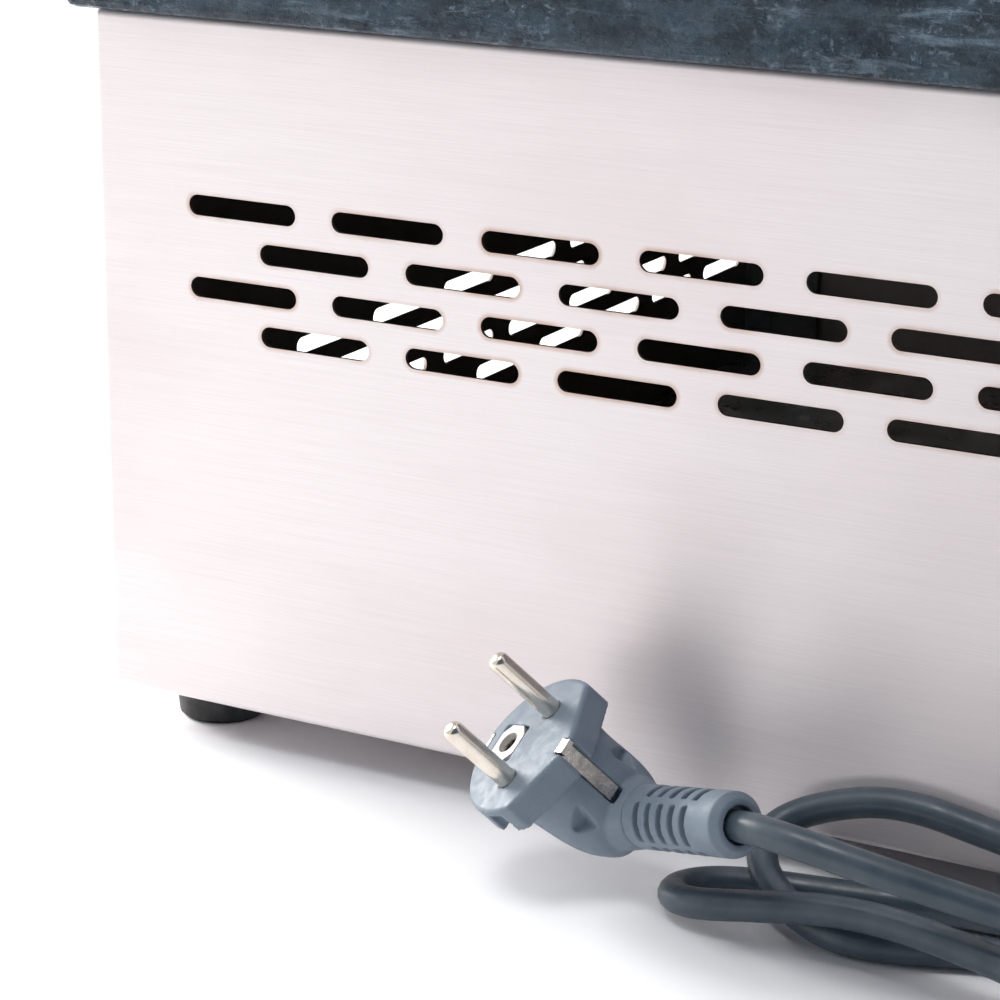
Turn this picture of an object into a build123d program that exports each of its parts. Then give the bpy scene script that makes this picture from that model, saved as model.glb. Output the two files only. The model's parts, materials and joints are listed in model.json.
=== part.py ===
"""Hot stone heater: a heated stone slab on a stainless steel housing.

Millimetres, +Z up, the controls face -Y and the mains lead leaves at +Y.
The origin is on the surface that the feet stand on, under the middle of the
object's box (the lead and its plug left out).
"""
from build123d import *
import math
import os

# ---------------------------------------------------------------- driving dimensions
WIDTH = 445.0            # housing, side to side
DEPTH = 405.0            # housing, front to rear
PANEL_HEIGHT = 171.5     # housing, without feet and slab
SHEET = 1.0              # stainless sheet
FOOT_HEIGHT = 10.0
SLAB_THICKNESS = 30.0
SLAB_OVERHANG = 4.0
SLAB_GAP = 0.5           # silicone pads between housing and slab
KNOB_REACH = 24.0        # from the front face to the front of the knob
CORD_DIAMETER = 7.0

# vent slots, punched in four staggered rows
SLOT_LENGTH = 30.0
SLOT_WIDTH = 5.0
SLOT_PITCH = 40.0
ROW_PITCH = 10.0
SLOT_INSET = 42.5        # first slot's middle from the corner
REAR_TOP_ROW = 44.5      # below the top edge
SIDE_TOP_ROW = 102.5

# housing
TOP_FLANGE = 16.0
BOTTOM_FLANGE = 30.0
CORNER_RADIUS = 2.5
FOLD_RADIUS = 1.6
RETURN_FLANGE = 14.0     # the front panel's folded edges
SEAM = 0.4               # between the front panel's edges and the side walls
BASE_SHEET = 1.2

# slab support and heater
RAIL_SHEET = 2.0
RAIL_HEIGHT = 22.0
RAIL_TOP_LEG = 15.0
RAIL_LEDGE = 27.0
BOSS_DEPTH = 8.0         # the slab's lower step, which drops into the frame
BOSS_CLEARANCE = 3.0
TRAY_SHEET = 0.8
TRAY_DEPTH = 16.0
ELEMENT_DIAMETER = 8.0
ELEMENT_PITCH = 47.0     # between the runs of one element
BOARD_THICKNESS = 8.0

# ---------------------------------------------------------------- derived places
SHIFT = (KNOB_REACH - SLAB_OVERHANG) / 2      # puts the origin under the box's middle
SIDE_X = WIDTH / 2
REAR_Y = DEPTH / 2 + SHIFT
FRONT_Y = SHIFT - DEPTH / 2
BOTTOM_Z = FOOT_HEIGHT
TOP_Z = FOOT_HEIGHT + PANEL_HEIGHT
SLAB_Z = TOP_Z + SLAB_GAP
RAIL_TOP_Z = TOP_Z - SHEET
LEDGE_Z = RAIL_TOP_Z - RAIL_HEIGHT + RAIL_SHEET
TRAY_FLANGE_Z = LEDGE_Z + TRAY_SHEET
TRAY_FLOOR_Z = TRAY_FLANGE_Z - TRAY_DEPTH
ELEMENT_Z = SLAB_Z - BOSS_DEPTH - 3 - ELEMENT_DIAMETER / 2
BASE_TOP_Z = BOTTOM_Z + SHEET + BASE_SHEET
INNER_X = SIDE_X - SHEET
INNER_REAR_Y = REAR_Y - SHEET
INNER_FRONT_Y = FRONT_Y + SHEET
TRAY_HALF_X = INNER_X - RAIL_LEDGE - 2
TRAY_HALF_Y = (DEPTH - 2 * SHEET) / 2 - RAIL_LEDGE - 2
OPENING_HALF_X = INNER_X - RAIL_TOP_LEG
OPENING_HALF_Y = (DEPTH - 2 * SHEET) / 2 - RAIL_TOP_LEG

# controls on the front panel
CONTROL_Z = 96.0
KNOB_X = 60.0
SWITCH_X = -60.0
LAMP_X = 0.0
KNOB_RADIUS = 20.0
SHAFT_RADIUS = 3.0
RUNNING_FIT = 0.05
SWITCH_WIDE = 21.0
SWITCH_TALL = 28.0
ROCKER_TILT = 10.0
LAMP_RADIUS = 5.0

# rear panel and electrics
GLAND_X = -125.0
GLAND_Z = 44.0
GLAND_HOLE = 8.0
FOOT_INSET = 20.5
FOOT_RADIUS = 12.0

# corner posts, heating elements and thermostat
POST_SHEET = 2.0
POST_WIDE = 20.0
BUSH_RADIUS = 6.0
ELEMENT_BEND = 12.0
ELEMENT_FIRST_X = 24.0
ELEMENT_REACH = 140.0
CAPILLARY_HOLE = (0.0, -80.0)
SENSOR_RADIUS = 3.0
SENSOR_HALF_LENGTH = 45.0
THERMOSTAT_SIZE = (36.0, 28.0, 40.0)      # wide, deep, tall
TAB_SHEET = 0.8

# switch
ROCKER_PIVOT_Y = FRONT_Y + 2.5
ROCKER_HALF_WIDE = 7.2
SWITCH_DEPTH = 24.0
BLADE = 0.8

# supply and inner wires
EARTH_STUD = (-80.0, 150.0)
BLOCK_Y = 140.0          # front face of the terminal block
BLOCK_DEPTH = 20.0
POLE_Z = 24.0
POLES = {"live": -145.0, "lamp": -135.0, "neutral": -125.0, "earth": -115.0}
SHEATH_END_Y = 186.0
GUARD_START_Y = REAR_Y + 12
GUARD_END_Y = REAR_Y + 44
WIRE = 1.4               # radius of a sleeved wire
FLOOR_WIRE_Z = 17.0

# lead and plug
LEAD_ROUTE = [           # from the gland's guard, over the surface, into the hank
    (-125, 256.5, 44), (-125, 278, 43), (-128, 300, 35), (-139, 317, 22), (-158, 325, 10.5),
    (-180, 321, 4.2), (-197, 306, 3.6), (-203, 285, 3.6), (-197, 264, 3.6), (-180, 248, 3.6),
    (-158, 241, 3.6),
]
PLUG_ROUTE = [           # from the hank up to the plug's strain relief
    (-60, 257, 19.5), (-32, 259, 23.5), (-8, 263.5, 28.5), (13, 264.5, 32),
]
HANK_OUTLINE = [         # of the loose loops, seen from above
    (52, 246), (48, 256), (30, 262), (-30, 262), (-80, 281), (-115, 299), (-146, 298),
    (-158, 285), (-158, 226), (-142, 216), (28, 216), (42, 224),
]
HANK_LOW = 13.5          # two layers of cord near the plug
HANK_HIGH = 24.0
HANK_STEP_X = -60.0
RIDGE_TOP = 29.0         # the turn that leans on the rear panel
PIN_OFFSET = 9.5         # from the plug's middle; the pins stand 19 mm apart
PIN_RADIUS = 2.4
PIN_REACH = 19.0
PIN_ROOT = 4.0           # length inside the plug's body
SOCKET_X = -9.0          # earth socket
SOCKET_RADIUS = 2.7
PLUG_RADIUS = 18.5
FACE_THICKNESS = 7.5
EARTH_X = 12.8           # the earth strip on the cord's side
NECK_DEPTH = 25.8        # the cord's axis behind the plug's face
NECK_START = 16.5
NECK_LENGTH = 34.0
NECK_RADIUS = 7.2
PLUG_PLANE = Plane(origin=(81.0, 249.8, 34.3), x_dir=(-0.848, 0.446, 0.286), z_dir=(0.5, 0.495, 0.711))


def block(x0, x1, y0, y1, z0, z1):
    """Box between two opposite corners."""
    size = (x1 - x0, y1 - y0, z1 - z0)
    return Pos((x0 + x1) / 2, (y0 + y1) / 2, (z0 + z1) / 2) * Box(*size)


def rod(start, direction, radius, length):
    """Cylinder that starts at a point and runs along a direction."""
    face = Plane(origin=start, z_dir=direction) * Circle(radius)
    return extrude(face, amount=length)


def tube(points, radius, radii):
    """Round bar along straight runs joined by tangent arcs."""
    path = FilletPolyline(*points, radius=radii)
    section = Plane(origin=path @ 0, z_dir=path % 0) * Circle(radius)
    return sweep(section, path=path)


def group(shapes):
    """Several separate solids kept in one node."""
    return Compound(children=[solid for shape in shapes for solid in shape.solids()])


# ---------------------------------------------------------------- housing
def staggered_rows(start, end, top_z, long_rows):
    """Middles of the slots in four rows; long_rows reach nearest to the corners."""
    middles = []
    for row in range(4):
        inset = SLOT_INSET if row in long_rows else SLOT_INSET + SLOT_PITCH / 2
        count = round((end - start - 2 * inset) / SLOT_PITCH) + 1
        for column in range(count):
            middles.append((start + inset + column * SLOT_PITCH, top_z - row * ROW_PITCH))
    return middles


def housing_wrap():
    """Rear panel and both side walls, bent from one sheet, with folded edges."""
    outer = block(-SIDE_X, SIDE_X, FRONT_Y, REAR_Y, BOTTOM_Z, TOP_Z)
    corners = outer.edges().filter_by(Axis.Z).group_by(Axis.Y)[-1]
    outer = fillet(corners, CORNER_RADIUS)
    folds = [e for e in outer.edges() if abs(e.center().Z - (BOTTOM_Z + TOP_Z) / 2) > PANEL_HEIGHT / 2 - 1
             and e.center().Y > FRONT_Y + 1]
    outer = fillet(folds, FOLD_RADIUS)
    inner = block(-INNER_X, INNER_X, FRONT_Y - 1, INNER_REAR_Y, BOTTOM_Z + SHEET, TOP_Z - SHEET)
    corners = inner.edges().filter_by(Axis.Z).group_by(Axis.Y)[-1]
    inner = fillet(corners, CORNER_RADIUS - SHEET)
    shell = outer - inner
    top = SIDE_X - TOP_FLANGE
    shell -= block(-top, top, FRONT_Y - 1, REAR_Y - TOP_FLANGE, TOP_Z - SHEET - 1, TOP_Z + 1)
    floor = SIDE_X - BOTTOM_FLANGE
    shell -= block(-floor, floor, FRONT_Y - 1, REAR_Y - BOTTOM_FLANGE, BOTTOM_Z - 1, BOTTOM_Z + SHEET + 1)
    front_end = FRONT_Y + RETURN_FLANGE + SEAM
    shell -= block(-SIDE_X - 1, SIDE_X + 1, FRONT_Y - 1, front_end, BOTTOM_Z - 1, TOP_Z + 1)
    slot = SlotOverall(SLOT_LENGTH, SLOT_WIDTH)
    rear_slots = [Pos(x, z) * slot
                  for x, z in staggered_rows(-SIDE_X, SIDE_X, TOP_Z - REAR_TOP_ROW, (0, 2))]
    rear_plane = Plane(origin=(0, REAR_Y + 1, 0), x_dir=(1, 0, 0), z_dir=(0, -1, 0))
    shell -= extrude(rear_plane * Sketch(children=rear_slots), amount=SHEET + 2)
    side_slots = [Pos(y, z) * slot
                  for y, z in staggered_rows(FRONT_Y, REAR_Y, TOP_Z - SIDE_TOP_ROW, (1, 3))]
    for side in (-1, 1):
        side_plane = Plane(origin=(side * (SIDE_X - SHEET - 1), 0, 0), x_dir=(0, 1, 0), z_dir=(1, 0, 0))
        shell -= extrude(side_plane * Sketch(children=side_slots), amount=side * (SHEET + 2))
    shell -= rod((GLAND_X, REAR_Y + 1, GLAND_Z), (0, -1, 0), GLAND_HOLE, SHEET + 2)
    for x, y in foot_places():
        shell -= rod((x, y, BOTTOM_Z - 1), (0, 0, 1), 2.2, SHEET + 2)
    for x, y in base_screw_places():
        shell -= rod((x, y, BOTTOM_Z - 1), (0, 0, 1), 1.8, SHEET + 2)
    return shell


def front_panel():
    """Front plate with four folded edges and the holes for the controls."""
    back = FRONT_Y + RETURN_FLANGE
    outer = block(-SIDE_X, SIDE_X, FRONT_Y, back, BOTTOM_Z, TOP_Z)
    front_edges = outer.faces().sort_by(Axis.Y)[0].edges()
    outer = fillet(front_edges + outer.edges().filter_by(Axis.Y), FOLD_RADIUS)
    inner = block(-INNER_X, INNER_X, INNER_FRONT_Y, back + 1, BOTTOM_Z + SHEET, TOP_Z - SHEET)
    panel = outer - inner
    panel -= rod((KNOB_X, FRONT_Y - 1, CONTROL_Z), (0, 1, 0), SHAFT_RADIUS + 1, SHEET + 2)
    for dx in (-14, 14):
        panel -= rod((KNOB_X + dx, FRONT_Y - 1, CONTROL_Z), (0, 1, 0), 2.1, SHEET + 2)
    panel -= rod((LAMP_X, FRONT_Y - 1, CONTROL_Z), (0, 1, 0), LAMP_RADIUS, SHEET + 2)
    wide, tall = SWITCH_WIDE / 2, SWITCH_TALL / 2
    panel -= block(SWITCH_X - wide, SWITCH_X + wide, FRONT_Y - 1, FRONT_Y + 2,
                   CONTROL_Z - tall, CONTROL_Z + tall)
    for side, z in front_screw_places():
        panel -= rod((side * (SIDE_X + 1), FRONT_Y + RETURN_FLANGE / 2, z), (-side, 0, 0), 2.1, SHEET + 2)
    return panel


def base_plate():
    """Bottom sheet on the folded edges, with air slots under the electrics."""
    plate = block(-INNER_X + 0.5, INNER_X - 0.5, INNER_FRONT_Y + 0.5, INNER_REAR_Y - 0.5,
                  BOTTOM_Z + SHEET, BASE_TOP_Z)
    for x in (-140, -100, 100, 140):
        for y in range(-100, 121, 20):
            slot = Pos(x, y + SHIFT, BASE_TOP_Z) * Box(SLOT_LENGTH, SLOT_WIDTH, 4)
            plate -= slot
    for x, y in foot_places():
        plate -= rod((x, y, BOTTOM_Z), (0, 0, 1), 2.2, 4)
    for x, y in base_screw_places():
        plate -= rod((x, y, BOTTOM_Z), (0, 0, 1), 1.5, 4)
    plate -= rod((*EARTH_STUD, BOTTOM_Z), (0, 0, 1), 2.5, 4)
    return plate


def rail(half_length, wall, axis):
    """Folded channel under the top edge: a leg above, a web and a wider ledge below.

    wall is the signed distance of the wall from the middle along the cross axis.
    """
    side = math.copysign(1, wall)
    reach = abs(wall)
    web = block(reach - RAIL_SHEET, reach, -half_length, half_length,
                RAIL_TOP_Z - RAIL_HEIGHT, RAIL_TOP_Z)
    leg = block(reach - RAIL_TOP_LEG, reach, -half_length, half_length,
                RAIL_TOP_Z - RAIL_SHEET, RAIL_TOP_Z)
    ledge = block(reach - RAIL_LEDGE, reach, -half_length, half_length,
                  LEDGE_Z - RAIL_SHEET, LEDGE_Z)
    channel = web + leg + ledge
    if axis == "x":
        turn = 0 if side > 0 else 180
    else:
        turn = 90 if side > 0 else -90
    return Pos(0, SHIFT, 0) * Rot(0, 0, turn) * channel


def rails():
    """Four channels; the side ones fit between the front and rear ones."""
    half_y = DEPTH / 2 - SHEET
    between = half_y - RAIL_LEDGE - 0.5
    return {
        "rail_left": rail(between, -INNER_X, "x"),
        "rail_right": rail(between, INNER_X, "x"),
        "rail_front": rail(INNER_X - POST_SHEET - 1, -half_y, "y"),
        "rail_rear": rail(INNER_X - CORNER_RADIUS, half_y, "y"),
    }


def corner_post(side):
    """Upright angle that joins the front panel to a side wall."""
    x = side * INNER_X
    top = RAIL_TOP_Z - RAIL_HEIGHT - 0.5
    low = BASE_TOP_Z
    x_wall = sorted((x, x - side * POST_SHEET))
    x_front = sorted((x, x - side * POST_WIDE))
    y = INNER_FRONT_Y + 0.3
    post = block(*x_wall, y, y + POST_WIDE, low, top)
    post += block(*x_front, y, y + POST_SHEET, low, top)
    for _, z in front_screw_places()[:2]:
        post -= rod((side * SIDE_X, FRONT_Y + RETURN_FLANGE / 2, z), (-side, 0, 0), 1.6, 8)
    return post


def foot_places():
    """Where the four feet stand."""
    x = SIDE_X - FOOT_INSET
    y = DEPTH / 2 - FOOT_INSET
    return [(sx * x, sy * y + SHIFT) for sy in (1, -1) for sx in (-1, 1)]


def base_screw_places():
    """Screws up through the folded edges, between the feet."""
    x = SIDE_X - FOOT_INSET
    y = DEPTH / 2 - FOOT_INSET
    sides = [(sx * x, dy + SHIFT) for sx in (-1, 1) for dy in (-90, 90)]
    ends = [(dx, y + SHIFT) for dx in (-100, 0, 100)]
    return sides + ends


def front_screw_places():
    """Side and height of the screws through the front panel's folded edges."""
    return [(side, z) for side in (-1, 1) for z in (BOTTOM_Z + 25, TOP_Z - 40)]


# ---------------------------------------------------------------- slab
def stone_slab():
    """Slab with a lower step that drops into the frame; the rim is cleft wider."""
    half_x = SIDE_X + SLAB_OVERHANG
    half_y = DEPTH / 2 + SLAB_OVERHANG
    top = SLAB_Z + SLAB_THICKNESS
    slab = Pos(0, 0, SLAB_Z) * extrude(Rectangle(2 * half_x, 2 * half_y), amount=SLAB_THICKNESS)
    slab = chamfer(slab.faces().sort_by(Axis.Z)[0].edges(), 2.0)
    slab = chamfer(slab.faces().sort_by(Axis.Z)[-1].edges(), 1.5)
    boss_x = OPENING_HALF_X - BOSS_CLEARANCE
    boss_y = OPENING_HALF_Y - BOSS_CLEARANCE
    boss = block(-boss_x, boss_x, -boss_y, boss_y, SLAB_Z - BOSS_DEPTH, top - 5)
    return Pos(0, SHIFT, 0) * (slab + boss)


def slab_pads():
    """Eight silicone pads between the folded edge and the slab."""
    inset = 8.0
    pads = []
    for x in (-SIDE_X + inset, -70, 70, SIDE_X - inset):
        for y in (-DEPTH / 2 + inset, DEPTH / 2 - inset):
            pads.append(rod((x, y + SHIFT, TOP_Z), (0, 0, 1), 4.5, SLAB_GAP))
    return group(pads)


# ---------------------------------------------------------------- heater
def reflector_tray():
    """Open tray that hangs on the rails' ledges and carries the heater."""
    x, y = TRAY_HALF_X, TRAY_HALF_Y
    lip = 10.0
    body = block(-x, x, -y, y, TRAY_FLOOR_Z, TRAY_FLANGE_Z)
    body -= block(-x + TRAY_SHEET, x - TRAY_SHEET, -y + TRAY_SHEET, y - TRAY_SHEET,
                  TRAY_FLOOR_Z + TRAY_SHEET, TRAY_FLANGE_Z + 1)
    flange = block(-x - lip, x + lip, -y - lip, y + lip, LEDGE_Z, TRAY_FLANGE_Z)
    flange -= block(-x + TRAY_SHEET, x - TRAY_SHEET, -y + TRAY_SHEET, y - TRAY_SHEET,
                    LEDGE_Z - 1, TRAY_FLANGE_Z + 1)
    tray = body + flange
    for x, y in element_legs():
        tray -= rod((x, y, TRAY_FLOOR_Z - 1), (0, 0, 1), BUSH_RADIUS, 3)
    tray -= rod((*CAPILLARY_HOLE, TRAY_FLOOR_Z - 1), (0, 0, 1), 3, 3)
    return Pos(0, SHIFT, 0) * tray


def element_route():
    """Corner points of the right element, from one cold leg to the other."""
    xs = [ELEMENT_FIRST_X + i * ELEMENT_PITCH for i in range(4)]
    low = TRAY_FLOOR_Z - 18
    far, near = ELEMENT_REACH, -ELEMENT_REACH + 30
    points = [(xs[0], -ELEMENT_REACH, low), (xs[0], -ELEMENT_REACH, ELEMENT_Z)]
    points += [(xs[0], far, ELEMENT_Z), (xs[1], far, ELEMENT_Z)]
    points += [(xs[1], near, ELEMENT_Z), (xs[2], near, ELEMENT_Z)]
    points += [(xs[2], far, ELEMENT_Z), (xs[3], far, ELEMENT_Z)]
    points += [(xs[3], -ELEMENT_REACH, ELEMENT_Z), (xs[3], -ELEMENT_REACH, low)]
    return points


def element_legs():
    """Where the elements' cold legs pass down through the tray."""
    last_x = ELEMENT_FIRST_X + 3 * ELEMENT_PITCH
    return [(side * x, -ELEMENT_REACH) for side in (-1, 1) for x in (ELEMENT_FIRST_X, last_x)]


def heating_element(side):
    """Tubular element, four runs under one half of the slab, with threaded ends."""
    u_bend = ELEMENT_PITCH / 2 - 0.2
    radii = [ELEMENT_BEND] + [u_bend] * 6 + [ELEMENT_BEND]
    points = element_route()
    sheath = tube(points, ELEMENT_DIAMETER / 2, radii)
    for end in (points[0], points[-1]):
        sheath += rod((end[0], end[1], end[2] - 8), (0, 0, 1), 2, 8)
    if side < 0:
        sheath = mirror(sheath, about=Plane.YZ)
    return Pos(0, SHIFT, 0) * sheath


def element_bushes():
    """Ceramic collars where the cold legs pass through the tray."""
    collars = []
    for x, y in element_legs():
        start = (x, y + SHIFT, TRAY_FLOOR_Z - 6)
        collar = rod(start, (0, 0, 1), BUSH_RADIUS - 0.2, 6)
        collar += rod(start, (0, 0, 1), BUSH_RADIUS + 3, 4)
        collar += rod((x, y + SHIFT, TRAY_FLOOR_Z), (0, 0, 1), BUSH_RADIUS - 0.2, 4)
        collars.append(collar - rod(start, (0, 0, 1), ELEMENT_DIAMETER / 2, 20))
    return group(collars)


def insulation_board():
    """Fibre board on the tray's floor, with holes for the legs and the capillary."""
    x, y = TRAY_HALF_X - TRAY_SHEET - 1, TRAY_HALF_Y - TRAY_SHEET - 1
    z = TRAY_FLOOR_Z + TRAY_SHEET
    board = block(-x, x, -y, y, z, z + BOARD_THICKNESS)
    for hole_x, hole_y in element_legs():
        board -= rod((hole_x, hole_y, z - 1), (0, 0, 1), BUSH_RADIUS + 1, BOARD_THICKNESS + 2)
    board -= rod((*CAPILLARY_HOLE, z - 1), (0, 0, 1), 3, BOARD_THICKNESS + 2)
    return Pos(0, SHIFT, 0) * board


def element_brackets():
    """Notched combs that hold the runs up off the board."""
    low = TRAY_FLOOR_Z + TRAY_SHEET + BOARD_THICKNESS
    half_x = ELEMENT_FIRST_X + 3 * ELEMENT_PITCH + 9
    combs = []
    for y in (-70, 70):
        comb = block(-half_x, half_x, y - 1, y + 1, low, ELEMENT_Z + 1)
        comb += block(-half_x, half_x, y - 1, y + 9, low, low + 1)
        for side in (-1, 1):
            for i in range(4):
                x = side * (ELEMENT_FIRST_X + i * ELEMENT_PITCH)
                notch = rod((x, y - 2, ELEMENT_Z), (0, 1, 0), ELEMENT_DIAMETER / 2, 4)
                comb -= notch
        bulb = SENSOR_RADIUS + 2
        comb -= block(-bulb, bulb, y - 2, y + 2, low + 3, ELEMENT_Z + 2)
        combs.append(Pos(0, SHIFT, 0) * comb)
    return group(combs)


# ---------------------------------------------------------------- thermostat and limiter


def sensor_bulb():
    """Liquid-filled bulb between the elements, under the middle of the slab."""
    start = (0, -SENSOR_HALF_LENGTH + SHIFT, ELEMENT_Z)
    return rod(start, (0, 1, 0), SENSOR_RADIUS, 2 * SENSOR_HALF_LENGTH)


def bulb_clips():
    """Two spring clips that stand on the board and hold the bulb."""
    low = TRAY_FLOOR_Z + TRAY_SHEET + BOARD_THICKNESS
    clips = []
    for y in (-25, 25):
        y0, y1 = y + SHIFT - 5, y + SHIFT + 5
        clip = block(-8, 8, y0, y1, low, low + 1)
        clip += block(-SENSOR_RADIUS - 1, SENSOR_RADIUS + 1, y0, y1, low, ELEMENT_Z + 1)
        clip -= block(-SENSOR_RADIUS, SENSOR_RADIUS, y0 - 1, y1 + 1, low + 1, ELEMENT_Z + 2)
        clips.append(clip)
    return group(clips)


def capillary_tube():
    """Thin copper tube from the bulb down to the thermostat."""
    x, y = CAPILLARY_HOLE
    y += SHIFT
    head = thermostat_back()
    body_top = CONTROL_Z + THERMOSTAT_SIZE[2] / 2
    low_z = TRAY_FLOOR_Z - 14
    points = [(0, -SENSOR_HALF_LENGTH + SHIFT, ELEMENT_Z), (x, y, ELEMENT_Z), (x, y, low_z),
              (KNOB_X, y, low_z - 4), (KNOB_X, head - 10, low_z - 2), (KNOB_X, head - 10, body_top)]
    return tube(points, 0.9, [8, 7, 7, 7])


def thermostat_back():
    """Rear face of the thermostat."""
    return INNER_FRONT_Y + THERMOSTAT_SIZE[1]


def thermostat_body():
    """Thermostat case behind the front panel, bored for the shaft."""
    wide, _, tall = THERMOSTAT_SIZE
    body = block(KNOB_X - wide / 2, KNOB_X + wide / 2, INNER_FRONT_Y, thermostat_back(),
                 CONTROL_Z - tall / 2, CONTROL_Z + tall / 2)
    body = fillet(body.edges().filter_by(Axis.Y), 2)
    bore = rod((KNOB_X, INNER_FRONT_Y - 1, CONTROL_Z), (0, 1, 0), SHAFT_RADIUS + RUNNING_FIT, 17)
    body -= bore
    for dx in (-14, 14):
        body -= rod((KNOB_X + dx, INNER_FRONT_Y - 1, CONTROL_Z), (0, 1, 0), 1.6, 9)
    for dz in (-12, 0):
        body += block(KNOB_X - 12, KNOB_X - 6, thermostat_back(), thermostat_back() + 8,
                      CONTROL_Z + dz - 0.4, CONTROL_Z + dz + 0.4)
    return body


def thermostat_screws():
    """Two screws from the front, under the dial."""
    screws = []
    for dx in (-14, 14):
        x = KNOB_X + dx
        head = rod((x, FRONT_Y - 0.6, CONTROL_Z), (0, 1, 0), 3, 0.6)
        screws.append(head + rod((x, FRONT_Y, CONTROL_Z), (0, 1, 0), 1.5, 8))
    return group(screws)


def thermostat_shaft():
    """Shaft with a flat for the knob; it turns in the thermostat."""
    start = FRONT_Y - KNOB_REACH + 6
    length = INNER_FRONT_Y + 14 - start
    shaft = rod((KNOB_X, start, CONTROL_Z), (0, 1, 0), SHAFT_RADIUS, length)
    flat = block(KNOB_X - 4, KNOB_X + 4, start - 1, FRONT_Y - 3, CONTROL_Z + 1.5, CONTROL_Z + 4)
    return shaft - flat


def control_knob():
    """Round knob with a skirt, finger flutes and a raised pointer."""
    front = FRONT_Y - KNOB_REACH
    back = FRONT_Y - 2.0
    at = (KNOB_X, front, CONTROL_Z)
    knob = rod(at, (0, 1, 0), KNOB_RADIUS - 3, back - front)
    knob = fillet(knob.faces().sort_by(Axis.Y)[0].edges(), 2.5)
    flutes = 18
    for i in range(flutes):
        turn = 2 * math.pi * (i + 0.5) / flutes
        x = KNOB_X + (KNOB_RADIUS - 2) * math.cos(turn)
        z = CONTROL_Z + (KNOB_RADIUS - 2) * math.sin(turn)
        knob -= rod((x, front - 1, z), (0, 1, 0), 1.8, back - front - 4)
    skirt = rod((KNOB_X, back - 4, CONTROL_Z), (0, 1, 0), KNOB_RADIUS, 4)
    knob += chamfer(skirt.faces().sort_by(Axis.Y)[0].edges(), 1.5)
    knob += block(KNOB_X - 1.2, KNOB_X + 1.2, front - 0.0, front + 6,
                  CONTROL_Z + 4, CONTROL_Z + KNOB_RADIUS - 2.2)
    hollow = rod((KNOB_X, front + 8, CONTROL_Z), (0, 1, 0), KNOB_RADIUS - 5.5, KNOB_REACH)
    boss = rod((KNOB_X, front + 2, CONTROL_Z), (0, 1, 0), 6.5, back - front - 3)
    knob = knob - hollow + boss
    bore_start = front + 6
    bore = rod((KNOB_X, bore_start, CONTROL_Z), (0, 1, 0), SHAFT_RADIUS, KNOB_REACH)
    bore -= block(KNOB_X - 4, KNOB_X + 4, bore_start - 1, FRONT_Y - 3, CONTROL_Z + 1.5, CONTROL_Z + 4)
    return knob - bore


def dial_plate():
    """Thin round scale behind the knob, with room for the screw heads."""
    dial = rod((KNOB_X, FRONT_Y - 0.8, CONTROL_Z), (0, 1, 0), KNOB_RADIUS + 9, 0.8)
    dial -= rod((KNOB_X, FRONT_Y - 1, CONTROL_Z), (0, 1, 0), SHAFT_RADIUS + 1, 2)
    for dx in (-14, 14):
        dial -= rod((KNOB_X + dx, FRONT_Y - 1, CONTROL_Z), (0, 1, 0), 3.2, 2)
    return dial


def thermal_cutout():
    """Bimetal limiter under the tray: a disc on a flange, with two blades."""
    x, y = -50.0, -70.0 + SHIFT
    top = TRAY_FLOOR_Z
    limiter = block(x - 12, x + 12, y - 6, y + 6, top - 1, top)
    limiter += rod((x, y, top - 11), (0, 0, 1), 8, 10)
    for dx in (-4, 4):
        limiter += block(x + dx - 0.4, x + dx + 0.4, y - 3, y + 3, top - 19, top - 11)
    return limiter


# ---------------------------------------------------------------- switch and lamp


def switch_frame():
    """Snap-in switch case with a bezel, a well for the rocker and three blades."""
    wide, tall = SWITCH_WIDE / 2, SWITCH_TALL / 2
    back = INNER_FRONT_Y + SWITCH_DEPTH
    bezel = block(SWITCH_X - wide - 1.5, SWITCH_X + wide + 1.5, FRONT_Y - 2, FRONT_Y,
                  CONTROL_Z - tall - 1.5, CONTROL_Z + tall + 1.5)
    bezel = fillet(bezel.faces().sort_by(Axis.Y)[0].edges(), 1)
    case = bezel + block(SWITCH_X - wide + 0.2, SWITCH_X + wide - 0.2, FRONT_Y, back,
                         CONTROL_Z - tall + 0.2, CONTROL_Z + tall - 0.2)
    well = ROCKER_HALF_WIDE + 0.3
    case -= block(SWITCH_X - well, SWITCH_X + well, FRONT_Y - 3, ROCKER_PIVOT_Y + 7,
                  CONTROL_Z - 11.8, CONTROL_Z + 11.8)
    case -= rod((SWITCH_X - well - 1.6, ROCKER_PIVOT_Y, CONTROL_Z), (1, 0, 0), 1 + RUNNING_FIT,
                2 * well + 3.2)
    for x, dz in ((SWITCH_X - 4, -6), (SWITCH_X - 4, 6), (SWITCH_X + 4, 6)):
        case += block(x - 3, x + 3, back, back + 8, CONTROL_Z + dz - BLADE / 2, CONTROL_Z + dz + BLADE / 2)
    return case


def switch_rocker():
    """Rocker with a dished front and two pivot pins, tipped to its off side."""
    outline = Polyline((-6, -10.2), (-4.2, 0), (-6, 10.2), (2.5, 9.5), (4.5, 0), (2.5, -9.5), close=True)
    start = Plane(origin=(-ROCKER_HALF_WIDE, 0, 0), x_dir=(0, 1, 0), z_dir=(1, 0, 0))
    rocker = extrude(start * make_face(outline), amount=2 * ROCKER_HALF_WIDE)
    pin = ROCKER_HALF_WIDE + 1.5
    rocker += rod((-pin, 0, 0), (1, 0, 0), 1, 2 * pin)
    tipped = Rot(ROCKER_TILT, 0, 0) * rocker
    return Pos(SWITCH_X, ROCKER_PIVOT_Y, CONTROL_Z) * tipped


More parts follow.
